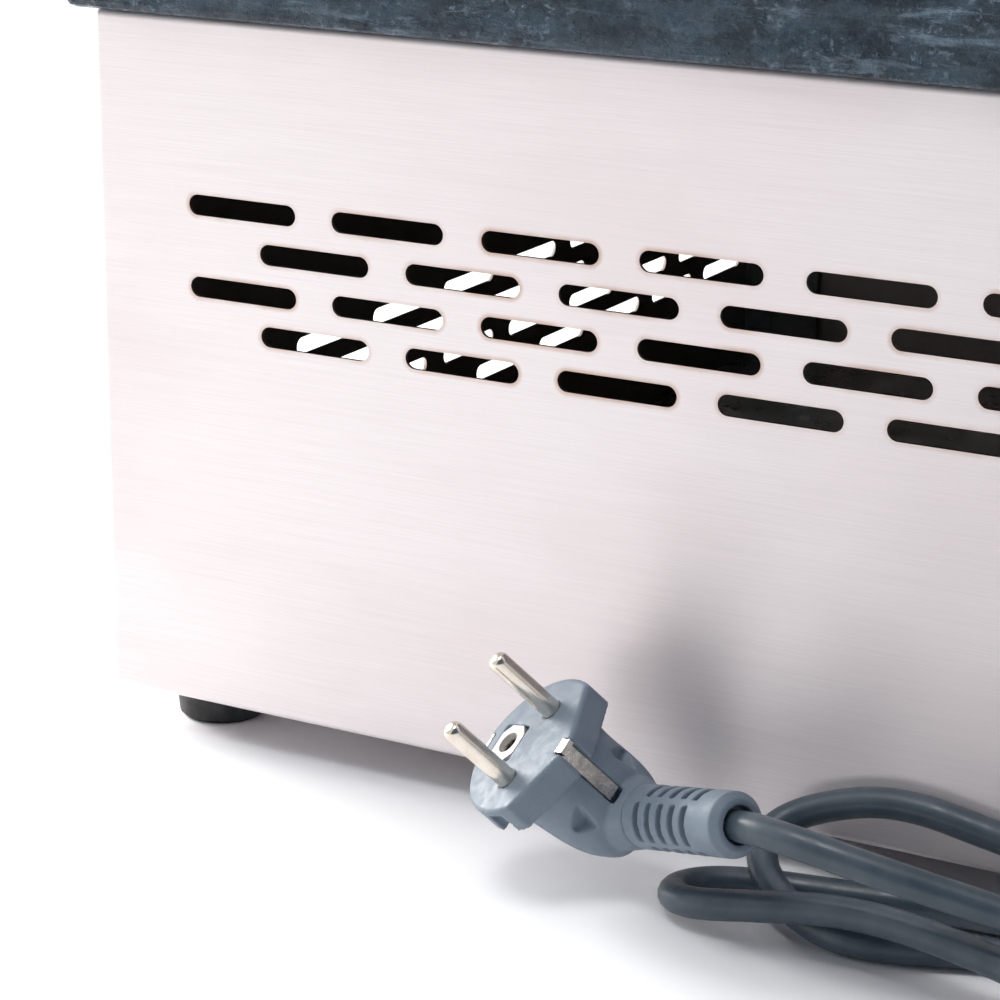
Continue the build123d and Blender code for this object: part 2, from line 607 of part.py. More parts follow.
def lamp_lens():
    """Domed lens of the pilot lamp."""
    lens = rod((LAMP_X, FRONT_Y - 1.5, CONTROL_Z), (0, 1, 0), LAMP_RADIUS + 1.5, 1.5)
    dome = rod((LAMP_X, FRONT_Y - 4.5, CONTROL_Z), (0, 1, 0), LAMP_RADIUS, 3)
    return lens + fillet(dome.faces().sort_by(Axis.Y)[0].edges(), 2.2)


def lamp_body():
    """Lamp case behind the panel, with its spring nut and two pins."""
    body = rod((LAMP_X, FRONT_Y, CONTROL_Z), (0, 1, 0), LAMP_RADIUS - 0.1, 19)
    body += rod((LAMP_X, INNER_FRONT_Y, CONTROL_Z), (0, 1, 0), LAMP_RADIUS + 2, 2)
    for dz in (-2.5, 2.5):
        body += rod((LAMP_X, FRONT_Y + 19, CONTROL_Z + dz), (0, 1, 0), 0.7, 6)
    return body


# ---------------------------------------------------------------- mains entry


def cable_gland():
    """Clamping gland: a thread through the panel, a hexagon and a dome."""
    y = REAR_Y
    hexagon = Plane(origin=(GLAND_X, y, GLAND_Z), z_dir=(0, 1, 0)) * RegularPolygon(12, 6)
    gland = extrude(hexagon, amount=5)
    gland += rod((GLAND_X, y + 5, GLAND_Z), (0, 1, 0), 10, 7)
    gland = fillet(gland.faces().sort_by(Axis.Y)[-1].edges(), 2.5)
    gland += rod((GLAND_X, y - 12, GLAND_Z), (0, 1, 0), GLAND_HOLE - 0.1, 12)
    return gland - rod((GLAND_X, y - 13, GLAND_Z), (0, 1, 0), CORD_DIAMETER / 2, 40)


def gland_nut():
    """Hexagon nut on the gland's thread, inside the panel."""
    start = Plane(origin=(GLAND_X, INNER_REAR_Y - 5, GLAND_Z), z_dir=(0, 1, 0))
    nut = extrude(start * RegularPolygon(12, 6), amount=5)
    return nut - rod((GLAND_X, INNER_REAR_Y - 6, GLAND_Z), (0, 1, 0), GLAND_HOLE - 0.1, 7)


def cord_guard():
    """Tapered rubber sleeve that keeps the lead from kinking at the gland."""
    length = GUARD_END_Y - GUARD_START_Y
    profile = Polyline((CORD_DIAMETER / 2, 0), (7, 0), (7, 3), (6, 4), (CORD_DIAMETER / 2 + 1.1, length),
                       (CORD_DIAMETER / 2, length), close=True)
    upright = revolve(Plane.XZ * make_face(profile), Axis.Z)
    for i in range(4):
        z = 8 + i * 5.5
        ring = Pos(0, 0, z) * Cylinder(12, 1.6)
        outer = CORD_DIAMETER / 2 + 1.4
        upright -= ring - Pos(0, 0, z) * Cylinder(outer, 2)
    return Pos(GLAND_X, GUARD_START_Y, GLAND_Z) * Rot(-90, 0, 0) * upright


def cord_inner_end():
    """The lead's sheath from its guard to just inside the panel."""
    start = (GLAND_X, SHEATH_END_Y, GLAND_Z)
    return rod(start, (0, 1, 0), CORD_DIAMETER / 2, GUARD_END_Y - SHEATH_END_Y)


def terminal_block():
    """Ceramic block with four poles on the base plate."""
    x0, x1 = POLES["live"] - 6, POLES["earth"] + 6
    body = block(x0, x1, BLOCK_Y, BLOCK_Y + BLOCK_DEPTH, BASE_TOP_Z, BASE_TOP_Z + 19)
    for x in POLES.values():
        body -= rod((x, BLOCK_Y + BLOCK_DEPTH / 2, BASE_TOP_Z + 15), (0, 0, 1), 2.5, 5)
    for x in (-140, -130, -120):
        body -= block(x - 0.8, x + 0.8, BLOCK_Y - 1, BLOCK_Y + BLOCK_DEPTH + 1,
                      BASE_TOP_Z + 14, BASE_TOP_Z + 20)
    return body


def terminal_screws():
    """The block's four clamping screws."""
    heads = []
    for x in POLES.values():
        head = rod((x, BLOCK_Y + BLOCK_DEPTH / 2, BASE_TOP_Z + 15), (0, 0, 1), 2.2, 2.5)
        slot = Pos(x, BLOCK_Y + BLOCK_DEPTH / 2, BASE_TOP_Z + 17.5) * Box(0.8, 5, 1.4)
        heads.append(head - slot)
    return group(heads)


def earth_stud():
    """Bolt through the base plate with a nut and the earth wire's ring tab."""
    x, y = EARTH_STUD
    stud = rod((x, y, BASE_TOP_Z - 5.5), (0, 0, 1), 2.4, 18)
    nut = extrude(Plane(origin=(x, y, BASE_TOP_Z)) * RegularPolygon(4.5, 6), amount=3.8)
    tab = block(x - 3, x + 3, y - 12, y, BASE_TOP_Z + 3.8, BASE_TOP_Z + 5.8)
    top = extrude(Plane(origin=(x, y, BASE_TOP_Z + 5.8)) * RegularPolygon(4.5, 6), amount=3.8)
    head = extrude(Plane(origin=(x, y, BOTTOM_Z - 3 + SHEET)) * RegularPolygon(4.5, 6), amount=3)
    return stud + nut + tab + top + head


# ---------------------------------------------------------------- inner wires


def wires():
    """Sleeved wires between the terminal block, the controls and the heater."""
    blade_end = INNER_FRONT_Y + SWITCH_DEPTH + 8
    pole = {name: (x, BLOCK_Y, POLE_Z) for name, x in POLES.items()}
    leg_y = -ELEMENT_REACH + SHIFT
    last_x = ELEMENT_FIRST_X + 3 * ELEMENT_PITCH
    tab_z = TRAY_FLOOR_Z - 18 - 8 - TAB_SHEET
    cut_y = -70.0 + SHIFT
    cut_z = TRAY_FLOOR_Z - 19
    lamp_end = FRONT_Y + 25
    thermo_end = thermostat_back() + 8

    live = [pole["live"], (POLES["live"], 122, POLE_Z), (-196, 100, FLOOR_WIRE_Z),
            (-196, -150, FLOOR_WIRE_Z), (SWITCH_X - 4, -150, FLOOR_WIRE_Z),
            (SWITCH_X - 4, -147, CONTROL_Z - 6),
            (SWITCH_X - 4, blade_end, CONTROL_Z - 6)]
    switched = [(SWITCH_X - 4, blade_end, CONTROL_Z + 6), (SWITCH_X - 4, -132, CONTROL_Z + 6),
                (KNOB_X - 9, -132, CONTROL_Z - 12), (KNOB_X - 9, thermo_end, CONTROL_Z - 12)]
    limiter = [(KNOB_X - 9, thermo_end, CONTROL_Z), (KNOB_X - 9, -120, CONTROL_Z),
               (-46, -100, CONTROL_Z), (-46, cut_y, 104), (-46, cut_y, cut_z)]
    heater = [(-54, cut_y, cut_z), (-54, cut_y, 102), (-54, -112, 102), (-29, leg_y, 100),
              (-29, leg_y, tab_z)]
    link = [(-19, leg_y, tab_z), (-19, leg_y, 106), (19, leg_y, 106), (19, leg_y, tab_z)]
    neutral = [pole["neutral"], (POLES["neutral"], 114, POLE_Z), (-186, 90, FLOOR_WIRE_Z),
               (-186, -112, FLOOR_WIRE_Z), (-last_x - 5, leg_y, 32), (-last_x - 5, leg_y, tab_z)]
    across = [(-last_x + 5, leg_y, tab_z), (-last_x + 5, leg_y, 104), (-last_x + 5, -90, 112),
              (last_x - 5, -90, 112), (last_x - 5, leg_y, 104), (last_x - 5, leg_y, tab_z)]
    lamp_neutral = [pole["lamp"], (POLES["lamp"], 118, POLE_Z), (-191, 95, FLOOR_WIRE_Z),
                    (-191, -143, FLOOR_WIRE_Z), (LAMP_X, -143, FLOOR_WIRE_Z),
                    (LAMP_X, -143, CONTROL_Z - 2.5), (LAMP_X, lamp_end, CONTROL_Z - 2.5)]
    lamp_live = [(LAMP_X, lamp_end, CONTROL_Z + 2.5), (LAMP_X, -153, CONTROL_Z + 2.5),
                 (SWITCH_X + 4, -151, CONTROL_Z + 6), (SWITCH_X + 4, blade_end, CONTROL_Z + 6)]
    earth = [pole["earth"], (POLES["earth"], 120, POLE_Z), (EARTH_STUD[0], 118, BASE_TOP_Z + 4.8),
             (EARTH_STUD[0], EARTH_STUD[1] - 12, BASE_TOP_Z + 4.8)]
    return {
        "wire_live": sleeved(live),
        "wire_switched": sleeved(switched),
        "wire_limiter": sleeved(limiter),
        "wire_heater": group([sleeved(heater), sleeved(link)]),
        "wire_neutral": group([sleeved(neutral), sleeved(across)]),
        "wire_lamp": group([sleeved(lamp_neutral), sleeved(lamp_live)]),
        "wire_earth": sleeved(earth),
        "mains_cores": mains_cores(),
    }


def sleeved(points):
    """One wire, with small bends at its corners."""
    runs = [(Vector(*b) - Vector(*a)).length for a, b in zip(points, points[1:])]
    radii = [min(7.0, 0.4 * min(pair)) for pair in zip(runs, runs[1:])]
    return tube(points, WIRE, radii)


def mains_cores():
    """The lead's three cores between its sheath and the terminal block."""
    cores = []
    back = BLOCK_Y + BLOCK_DEPTH
    for name, dx, dz in (("live", -2.1, 0), ("neutral", 0, 2.2), ("earth", 2.1, 0)):
        x = GLAND_X + dx
        points = [(x, SHEATH_END_Y, GLAND_Z + dz), (x, SHEATH_END_Y - 7, GLAND_Z + dz),
                  (POLES[name], back + 9, POLE_Z), (POLES[name], back, POLE_Z)]
        cores.append(tube(points, 1.0, [3, 3]))
    return group(cores)


def element_tabs():
    """Terminal tabs under the elements' threaded ends."""
    top = TRAY_FLOOR_Z - 18 - 8
    tabs = []
    for x, y in element_legs():
        tabs.append(block(x - 8, x + 8, y + SHIFT - 3, y + SHIFT + 3, top - TAB_SHEET, top))
    return group(tabs)


# ---------------------------------------------------------------- feet and fasteners
def foot(x, y):
    """Tapered rubber foot with a recess for its screw."""
    profile = Polyline((2.2, FOOT_HEIGHT), (2.2, 4), (5, 4), (5, 0), (FOOT_RADIUS - 1.6, 0),
                       (FOOT_RADIUS - 0.8, 0.8), (FOOT_RADIUS, FOOT_HEIGHT - 1),
                       (FOOT_RADIUS - 1, FOOT_HEIGHT), close=True)
    return Pos(x, y, 0) * revolve(Plane.XZ * make_face(profile), Axis.Z)


def feet():
    """The four feet by name."""
    names = ("foot_rear_left", "foot_rear_right", "foot_front_left", "foot_front_right")
    return {name: foot(x, y) for name, (x, y) in zip(names, foot_places())}


def foot_screws():
    """Pan-head screws up through the feet and the base plate."""
    screws = []
    for x, y in foot_places():
        head = rod((x, y, 2), (0, 0, 1), 4, 2)
        head -= Pos(x, y, 2) * Box(5, 0.9, 1.6)
        head -= Pos(x, y, 2) * Box(0.9, 5, 1.6)
        screws.append(head + rod((x, y, 4), (0, 0, 1), 2, BASE_TOP_Z + 1))
    return group(screws)


def foot_nuts():
    """Nuts on the foot screws, inside the housing."""
    nuts = []
    for x, y in foot_places():
        nut = extrude(Plane(origin=(x, y, BASE_TOP_Z)) * RegularPolygon(4.04, 6), amount=3)
        nuts.append(nut - rod((x, y, BASE_TOP_Z - 1), (0, 0, 1), 2, 5))
    return group(nuts)


def base_screws():
    """Self-tapping screws up through the folded edges into the base plate."""
    screws = []
    for x, y in base_screw_places():
        head = rod((x, y, BOTTOM_Z - 1.8), (0, 0, 1), 3.2, 1.8)
        head = fillet(head.faces().sort_by(Axis.Z)[0].edges(), 1)
        screws.append(head + rod((x, y, BOTTOM_Z), (0, 0, 1), 1.5, 7))
    return group(screws)


def front_screws():
    """Button-head screws through the front panel's folded edges."""
    screws = []
    for side, z in front_screw_places():
        y = FRONT_Y + RETURN_FLANGE / 2
        head = rod((side * (SIDE_X + 1.8), y, z), (-side, 0, 0), 3.6, 1.8)
        outer_face = head.faces().sort_by(Axis.X)[-1 if side > 0 else 0]
        head = fillet(outer_face.edges(), 1.2)
        socket = Plane(origin=(side * (SIDE_X + 2), y, z), z_dir=(-side, 0, 0)) * RegularPolygon(1.2, 6)
        head -= extrude(socket, amount=1.2)
        screws.append(head + rod((side * SIDE_X, y, z), (-side, 0, 0), 1.6, 8))
    return group(screws)


# ---------------------------------------------------------------- lead
def plug_point(x, y, z):
    """Point of the plug's own frame: +X to its cord, +Z out of its pins."""
    return PLUG_PLANE.from_local_coords(Vector(x, y, z))


def cord_run(points):
    """Tube of the lead; each bend takes the room that its shorter run allows."""
    corners = [Vector(*point) for point in points]
    runs = [b - a for a, b in zip(corners, corners[1:])]
    radii = []
    for before, after in zip(runs, runs[1:]):
        turn = math.radians(before.get_angle(after))
        radii.append(0.45 * min(before.length, after.length) / math.tan(turn / 2))
    path = FilletPolyline(*corners, radius=radii)
    section = Plane(origin=path @ 0, z_dir=path % 0) * Circle(CORD_DIAMETER / 2)
    return sweep(section, path=path)


def cord_lead():
    """Stretch between the gland's guard and the hank."""
    return cord_run(LEAD_ROUTE)


def cord_plug_run():
    """Stretch between the hank and the plug."""
    return cord_run(PLUG_ROUTE + [tuple(plug_point(NECK_START + NECK_LENGTH, 0, -NECK_DEPTH))])


def cord_hank():
    """Outer shape of the loosely looped lead behind the housing."""
    outline = make_face(Polyline(*HANK_OUTLINE, close=True))
    low = extrude(outline, amount=HANK_LOW)
    tall = extrude(outline, amount=HANK_HIGH) & block(-200, HANK_STEP_X, 200, 320, -1, HANK_HIGH + 1)
    ridge = block(HANK_STEP_X, 36, 212.9, 222, 0, RIDGE_TOP)
    return low + tall + ridge


def plug_face():
    """Outline of the plug's face, drawn in on the cord's side."""
    sides = [(-20, -20), (5.8, -20), (EARTH_X + 1.5, -3), (EARTH_X + 1.5, 3), (5.8, 20), (-20, 20)]
    return Circle(PLUG_RADIUS) & make_face(Polyline(*sides, close=True))


def rounded_section(low_x, high_x, half_y, z):
    """Rounded rectangle across the plug's body."""
    outline = RectangleRounded(high_x - low_x, 2 * half_y, 0.42 * min(high_x - low_x, 2 * half_y))
    return Pos((low_x + high_x) / 2, 0, z) * outline


def plug_body():
    """Angled two-pole plug: a thin face, a drawn-in body with finger pockets, and a neck."""
    plate = extrude(plug_face(), amount=-FACE_THICKNESS)
    plate = chamfer(plate.faces().sort_by(Axis.Z)[-1].edges(), 0.7)
    sections = Sketch() + [
        rounded_section(-13.5, EARTH_X + 0.3, 13.2, 0.2 - FACE_THICKNESS),
        rounded_section(-8, EARTH_X + 0.2, 12.2, -18.5),
        rounded_section(-3, EARTH_X, 10.6, -27),
        rounded_section(0, EARTH_X - 1.5, 8.0, -31),
    ]
    body = plate + loft(sections)
    shoulder = Plane(origin=(5, 0, -23), x_dir=(0, 1, 0), z_dir=(1, 0, 0)) * RectangleRounded(21.5, 14, 5.5)
    collar = Plane(origin=(NECK_START, 0, -NECK_DEPTH), x_dir=(0, 1, 0), z_dir=(1, 0, 0))
    body += loft(Sketch() + [shoulder, collar * Circle(NECK_RADIUS)])
    for side in (-1, 1):
        body -= Pos(1, side * PLUG_RADIUS, -5.2) * Box(5.4, 4.4, 6.4)
        body -= Pos(EARTH_X - 0.6, side * 9.6, -15) * Rot(0, 30, side * 16) * Box(5.5, 4.2, 8.5)
    for y in (-PIN_OFFSET, PIN_OFFSET):
        body -= Pos(0, y, -PIN_ROOT / 2) * Cylinder(PIN_RADIUS, PIN_ROOT)
    body -= Pos(SOCKET_X, 0, -1) * Box(9, 9.6, 2)
    body -= Pos(SOCKET_X, 0, -8) * Cylinder(SOCKET_RADIUS, 14)
    body -= Pos(EARTH_X + 1.0, 0, -9) * Box(3.6, 4.2, 19)
    body -= Pos(EARTH_X - 1.0, 0, -18.4) * Box(3.0, 4.2, 2.2)
    body -= Pos(-17.2, 0, -3) * Box(1.8, 4.6, 12)
    return PLUG_PLANE.location * body


def plug_pins():
    """Two round pins with rounded ends."""
    pins = []
    for y in (-PIN_OFFSET, PIN_OFFSET):
        pin = Cylinder(PIN_RADIUS, PIN_ROOT + PIN_REACH, align=(Align.CENTER, Align.CENTER, Align.MIN))
        pin = Pos(0, y, -PIN_ROOT) * pin
        pins.append(PLUG_PLANE.location * fillet(pin.faces().sort_by(Axis.Z)[-1].edges(), 1.7))
    return group(pins)


def plug_insert():
    """Pale insert around the earth socket."""
    insert = Pos(SOCKET_X, 0, -1) * Box(8.8, 9.4, 2)
    insert = chamfer(insert.edges().filter_by(Axis.Z), 2.2)
    insert -= Pos(SOCKET_X, 0, -1) * Cylinder(SOCKET_RADIUS, 4)
    return PLUG_PLANE.location * insert


def plug_earth():
    """Two side contacts and the earth socket's sleeve."""
    strip = Pos(EARTH_X - 0.4, 0, -8.9) * Box(0.9, 3.6, 17.4)
    strip += Pos(EARTH_X + 0.5, 0, -0.6) * Box(2.7, 3.6, 1.4)
    short = Pos(-17.0, 0, -4.4) * Box(0.9, 4, 8.6)
    parts = [PLUG_PLANE.location * strip, PLUG_PLANE.location * short]
    sleeve = Pos(SOCKET_X, 0, -8) * Cylinder(SOCKET_RADIUS, 13)
    parts.append(PLUG_PLANE.location * (sleeve - Pos(SOCKET_X, 0, -7) * Cylinder(SOCKET_RADIUS - 0.5, 14)))
    return group(parts)


def plug_relief():
    """Ribbed flexible sleeve between the plug and the cord, with a plain end."""
    along = Plane(origin=(NECK_START, 0, -NECK_DEPTH), x_dir=(0, 1, 0), z_dir=(1, 0, 0))
    sleeve = extrude(along * Circle(NECK_RADIUS), amount=NECK_LENGTH)
    sleeve = chamfer(sleeve.faces().sort_by(Axis.X)[-1].edges(), 1.6)
    sleeve -= along * Pos(0, 0, NECK_LENGTH - 1) * Cylinder(CORD_DIAMETER / 2 + 0.7, 2.4)
    for row in range(5):
        for quarter in range(4):
            shift = 2.2 if quarter % 2 else 0.0
            at = along * Pos(0, 0, 5.0 + 4.4 * row + shift) * Rot(0, 0, 45 + 90 * quarter)
            sleeve -= at * Pos(0, NECK_RADIUS, 0) * Box(8.6, 5, 1.9)
    return PLUG_PLANE.location * sleeve


# ---------------------------------------------------------------- writing
def all_nodes():
    """Every node's name and shape."""
    nodes = {
        "housing_wrap": housing_wrap(),
        "front_panel": front_panel(),
        "base_plate": base_plate(),
        "corner_posts": group([corner_post(-1), corner_post(1)]),
        "stone_slab": stone_slab(),
        "slab_pads": slab_pads(),
        "reflector_tray": reflector_tray(),
        "insulation_board": insulation_board(),
        "element_left": heating_element(-1),
        "element_right": heating_element(1),
        "element_bushes": element_bushes(),
        "element_brackets": element_brackets(),
        "element_tabs": element_tabs(),
        "sensor_bulb": sensor_bulb(),
        "bulb_clips": bulb_clips(),
        "capillary_tube": capillary_tube(),
        "thermal_cutout": thermal_cutout(),
        "thermostat_body": thermostat_body(),
        "thermostat_screws": thermostat_screws(),
        "thermostat_shaft": thermostat_shaft(),
        "control_knob": control_knob(),
        "dial_plate": dial_plate(),
        "switch_frame": switch_frame(),
        "switch_rocker": switch_rocker(),
        "lamp_lens": lamp_lens(),
        "lamp_body": lamp_body(),
        "terminal_block": terminal_block(),
        "terminal_screws": terminal_screws(),
        "earth_stud": earth_stud(),
        "cable_gland": cable_gland(),
        "gland_nut": gland_nut(),
        "cord_guard": cord_guard(),
        "cord_inner_end": cord_inner_end(),
        "cord_lead": cord_lead(),
        "cord_hank": cord_hank(),
        "cord_plug_run": cord_plug_run(),
        "plug_body": plug_body(),
        "plug_pins": plug_pins(),
        "plug_insert": plug_insert(),
        "plug_earth": plug_earth(),
        "plug_relief": plug_relief(),
        "foot_fixings": group([foot_screws(), foot_nuts()]),
        "base_screws": base_screws(),
        "front_screws": front_screws(),
    }
    nodes.update(rails())
    nodes.update(feet())
    nodes.update(wires())
    return nodes


os.makedirs("parts", exist_ok=True)
for node, shape in all_nodes().items():
    export_step(shape, f"parts/{node}.step")
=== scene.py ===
"""Hot stone heater: looks of the stone slab, the steel housing, the lead and its plug.

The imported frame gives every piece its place; all lengths are in metres.
"""
import json
import math
import bpy
from mathutils import Matrix, Vector


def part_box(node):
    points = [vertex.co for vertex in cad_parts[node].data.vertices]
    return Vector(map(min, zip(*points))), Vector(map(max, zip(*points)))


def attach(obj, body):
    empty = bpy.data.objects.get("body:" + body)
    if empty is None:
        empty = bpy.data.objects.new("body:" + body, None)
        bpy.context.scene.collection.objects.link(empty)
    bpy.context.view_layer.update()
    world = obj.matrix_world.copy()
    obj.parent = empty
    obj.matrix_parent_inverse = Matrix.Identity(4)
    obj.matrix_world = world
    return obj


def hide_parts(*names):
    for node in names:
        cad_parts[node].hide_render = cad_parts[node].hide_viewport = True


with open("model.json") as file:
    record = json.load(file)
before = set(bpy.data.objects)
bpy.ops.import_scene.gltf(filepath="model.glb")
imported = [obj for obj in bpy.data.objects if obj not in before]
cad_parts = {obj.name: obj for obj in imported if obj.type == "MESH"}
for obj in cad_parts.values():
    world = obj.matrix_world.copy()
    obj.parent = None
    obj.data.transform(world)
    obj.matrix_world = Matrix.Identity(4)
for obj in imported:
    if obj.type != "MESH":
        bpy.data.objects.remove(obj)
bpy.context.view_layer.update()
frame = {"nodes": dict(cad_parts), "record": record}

bl_info = {
    "name": "Hot stone heater",
    "version": (1, 0, 0),
    "blender": (4, 5, 0),
    "location": "View3D > Sidebar > Heater",
    "description": "Builds the stone slab, the lead, the plug and the finishes of a hot stone heater",
    "category": "Object",
}

SLOT_OF = {part["node"]: part["material_slot"] for part in frame["record"]["subparts"]}
HOUSING_LOW, HOUSING_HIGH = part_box("housing_wrap")
SLAB_LOW, SLAB_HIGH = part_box("stone_slab")

# the lead's route, from inside the gland's guard to inside the plug's relief
LEAD_ROUTE = [
    (-0.1250, 0.2520, 0.0442), (-0.1250, 0.2780, 0.0430), (-0.1280, 0.3000, 0.0350),
    (-0.1390, 0.3170, 0.0220), (-0.1580, 0.3250, 0.0105), (-0.1800, 0.3210, 0.0042),
    (-0.1970, 0.3060, 0.0037), (-0.2030, 0.2850, 0.0037), (-0.1970, 0.2640, 0.0037),
    (-0.1800, 0.2460, 0.0037), (-0.1580, 0.2370, 0.0037),
    (-0.1250, 0.2320, 0.0037), (-0.0950, 0.2315, 0.0037), (-0.0700, 0.2312, 0.0037),
    (-0.0450, 0.2325, 0.0037), (-0.0220, 0.2390, 0.0037),
    (-0.0030, 0.2470, 0.0037), (0.0100, 0.2475, 0.0039), (0.0230, 0.2410, 0.0060),
    (0.0330, 0.2320, 0.0105), (0.0335, 0.2230, 0.0155),
    (0.0230, 0.2180, 0.0205), (0.0060, 0.2165, 0.0245), (-0.0170, 0.2165, 0.0205),
    (-0.0420, 0.2165, 0.0165), (-0.0660, 0.2210, 0.0165), (-0.0900, 0.2320, 0.0165),
    (-0.1100, 0.2460, 0.0160), (-0.1290, 0.2535, 0.0140), (-0.1430, 0.2440, 0.0110),
    (-0.1380, 0.2300, 0.0075), (-0.1180, 0.2230, 0.0045),
    (-0.0920, 0.2230, 0.0037), (-0.0650, 0.2220, 0.0037), (-0.0350, 0.2205, 0.0037),
    (-0.0080, 0.2215, 0.0037), (0.0140, 0.2262, 0.0037),
    (0.0350, 0.2300, 0.0037), (0.0465, 0.2360, 0.0037), (0.0485, 0.2455, 0.0042),
    (0.0400, 0.2520, 0.0060),
    (0.0250, 0.2520, 0.0090), (0.0020, 0.2505, 0.0125), (-0.0260, 0.2555, 0.0120),
    (-0.0520, 0.2620, 0.0090), (-0.0760, 0.2720, 0.0050), (-0.0980, 0.2830, 0.0040),
    (-0.1190, 0.2930, 0.0038), (-0.1390, 0.2940, 0.0038), (-0.1510, 0.2820, 0.0050),
    (-0.1480, 0.2660, 0.0078), (-0.1310, 0.2570, 0.0115),
    (-0.1080, 0.2570, 0.0155), (-0.0850, 0.2580, 0.0180), (-0.0600, 0.2570, 0.0195),
    (-0.0320, 0.2590, 0.0235), (-0.0080, 0.2635, 0.0285), (0.0130, 0.2645, 0.0320),
    (0.0253, 0.2595, 0.0304), (0.0340, 0.2550, 0.0275),
]
SLOT_LENGTH = 0.030
SLOT_WIDTH = 0.005
SLOT_PITCH = 0.040
SLOT_ROW = 0.010         # height between two rows
REAR_FIRST = (-0.180, 0.137)     # middle of the first slot of the rear wall's top row
SIDE_FIRST = (-0.130, 0.079)     # and of the side walls' top row
SKIN = 0.0015            # depth below an outer face that still counts as that face
HALO = 0.0014            # width of the tint beside a slot
STEP_DEPTH = 0.008       # the slab's step, which drops into the frame
STEP_INSET = 0.023       # of the step's sides from the slab's
SLAB_CELLS = (216, 196)  # cells across and along the slab
WALL_CUTS = 26           # cuts between the slab's upper and lower edge

# camera, from its place and two of its directions
CAMERA_AT = (-0.21439, 0.7992, 0.2822)
CAMERA_RIGHT = (-0.87416, -0.48556, 0.00825)
CAMERA_DOWN = (-0.14948, 0.25287, -0.95588)
CAMERA_LENS = 108.95


# ---------------------------------------------------------------- settings
class HeaterStageSettings(bpy.types.PropertyGroup):
    """Light and floor"""

    sky: bpy.props.FloatProperty(
        name="Sky", description="Strength of the even light all round", default=0.86, min=0.0)
    key: bpy.props.FloatProperty(
        name="Key light", description="Power of the large light behind the camera", default=0.05, min=0.0,
        unit="POWER")
    top: bpy.props.FloatProperty(
        name="Top light", description="Power of the light above the rear", default=9.0, min=0.0,
        unit="POWER")
    side: bpy.props.FloatProperty(
        name="Side light", description="Power of the light that shines in through the side slots",
        default=30.0, min=0.0, unit="POWER")
    shade_colour: bpy.props.FloatVectorProperty(
        name="Shade colour", description="Colour of the dimmer side of the studio",
        default=(0.09, 0.13, 0.19), size=3, subtype="COLOR", min=0.0, max=1.0)
    floor_colour: bpy.props.FloatVectorProperty(
        name="Floor colour", description="Colour of the floor", default=(0.93, 0.93, 0.94), size=3,
        subtype="COLOR", min=0.0, max=1.0)


class HeaterSteelSettings(bpy.types.PropertyGroup):
    """Brushed stainless sheet"""

    colour: bpy.props.FloatVectorProperty(
        name="Steel colour", description="Colour of the brushed sheet", default=(0.84, 0.79, 0.795), size=3,
        subtype="COLOR", min=0.0, max=1.0)
    grain_depth: bpy.props.FloatProperty(
        name="Grain depth", description="Depth of the brush marks", default=0.000004, min=0.0,
        unit="LENGTH")
    burn: bpy.props.FloatProperty(
        name="Burn", description="Strength of the brown tint that cutting left beside the slots",
        default=0.55, min=0.0, max=1.0, subtype="FACTOR")


class HeaterSlabSettings(bpy.types.PropertyGroup):
    """Cleft stone slab"""

    ridge_depth: bpy.props.FloatProperty(
        name="Ridge depth", description="Height of the cleft layers", default=0.0016, min=0.0,
        unit="LENGTH")
    grain_depth: bpy.props.FloatProperty(
        name="Grain depth", description="Height of the small lumps", default=0.0007, min=0.0,
        unit="LENGTH")
    colour: bpy.props.FloatVectorProperty(
        name="Stone colour", description="Colour of the oiled stone", default=(0.010, 0.027, 0.045),
        size=3, subtype="COLOR", min=0.0, max=1.0)
    # painted glints: colour of the bright specks painted onto the stone in place of the highlights on its
    # lumps
    bright: bpy.props.FloatVectorProperty(
        name="Speck colour", description="Colour of the flakes that catch the light",
        default=(0.32, 0.44, 0.55), size=3, subtype="COLOR", min=0.0, max=1.0)


class HeaterLeadSettings(bpy.types.PropertyGroup):
    """Supply lead and plug"""

    diameter: bpy.props.FloatProperty(
        name="Lead diameter", description="Outside diameter of the lead", default=0.007, min=0.003,
        unit="LENGTH")
    length: bpy.props.FloatProperty(
        name="Lead length", description="Length of the lead along its middle", default=1.25, min=0.1,
        unit="LENGTH")
    colour: bpy.props.FloatVectorProperty(
        name="Lead colour", description="Colour of the lead's jacket", default=(0.034, 0.054, 0.074),
        size=3, subtype="COLOR", min=0.0, max=1.0)
    plug_colour: bpy.props.FloatVectorProperty(
        name="Plug colour", description="Colour of the moulded plug", default=(0.165, 0.208, 0.256),
        size=3, subtype="COLOR", min=0.0, max=1.0)
    soften: bpy.props.FloatProperty(
        name="Mould rounding", description="Size of the cells that round the moulding's edges",
        default=0.00042, min=0.0002, unit="LENGTH")


# ---------------------------------------------------------------- help for modelling
def settings(group):
    """The settings of that name."""
    return getattr(bpy.context.scene, group)


def clear_selection():
    """Nothing stays selected, so that an operator acts on its own piece only."""
    if bpy.context.object and bpy.context.object.mode != "OBJECT":
        bpy.ops.object.mode_set(mode="OBJECT")
    bpy.ops.object.select_all(action="DESELECT")


def pick(piece):
    """Only this piece is selected and active."""
    clear_selection()
    piece.hide_set(False)
    piece.select_set(True)
    bpy.context.view_layer.objects.active = piece


def apply_place(piece):
    """The piece's place goes into its mesh."""
    pick(piece)
    bpy.ops.object.transform_apply(location=True, rotation=True, scale=True)


def select_edges(piece, test):
    """Selects the edges whose two ends pass the test, and nothing else."""
    bpy.ops.object.mode_set(mode="EDIT")
    bpy.ops.mesh.select_mode(type="EDGE")
    bpy.ops.mesh.select_all(action="DESELECT")
    bpy.ops.object.mode_set(mode="OBJECT")
    mesh = piece.data
    for edge in mesh.edges:
        ends = [mesh.vertices[index].co for index in edge.vertices]
        edge.select = test(*ends)
    bpy.ops.object.mode_set(mode="EDIT")


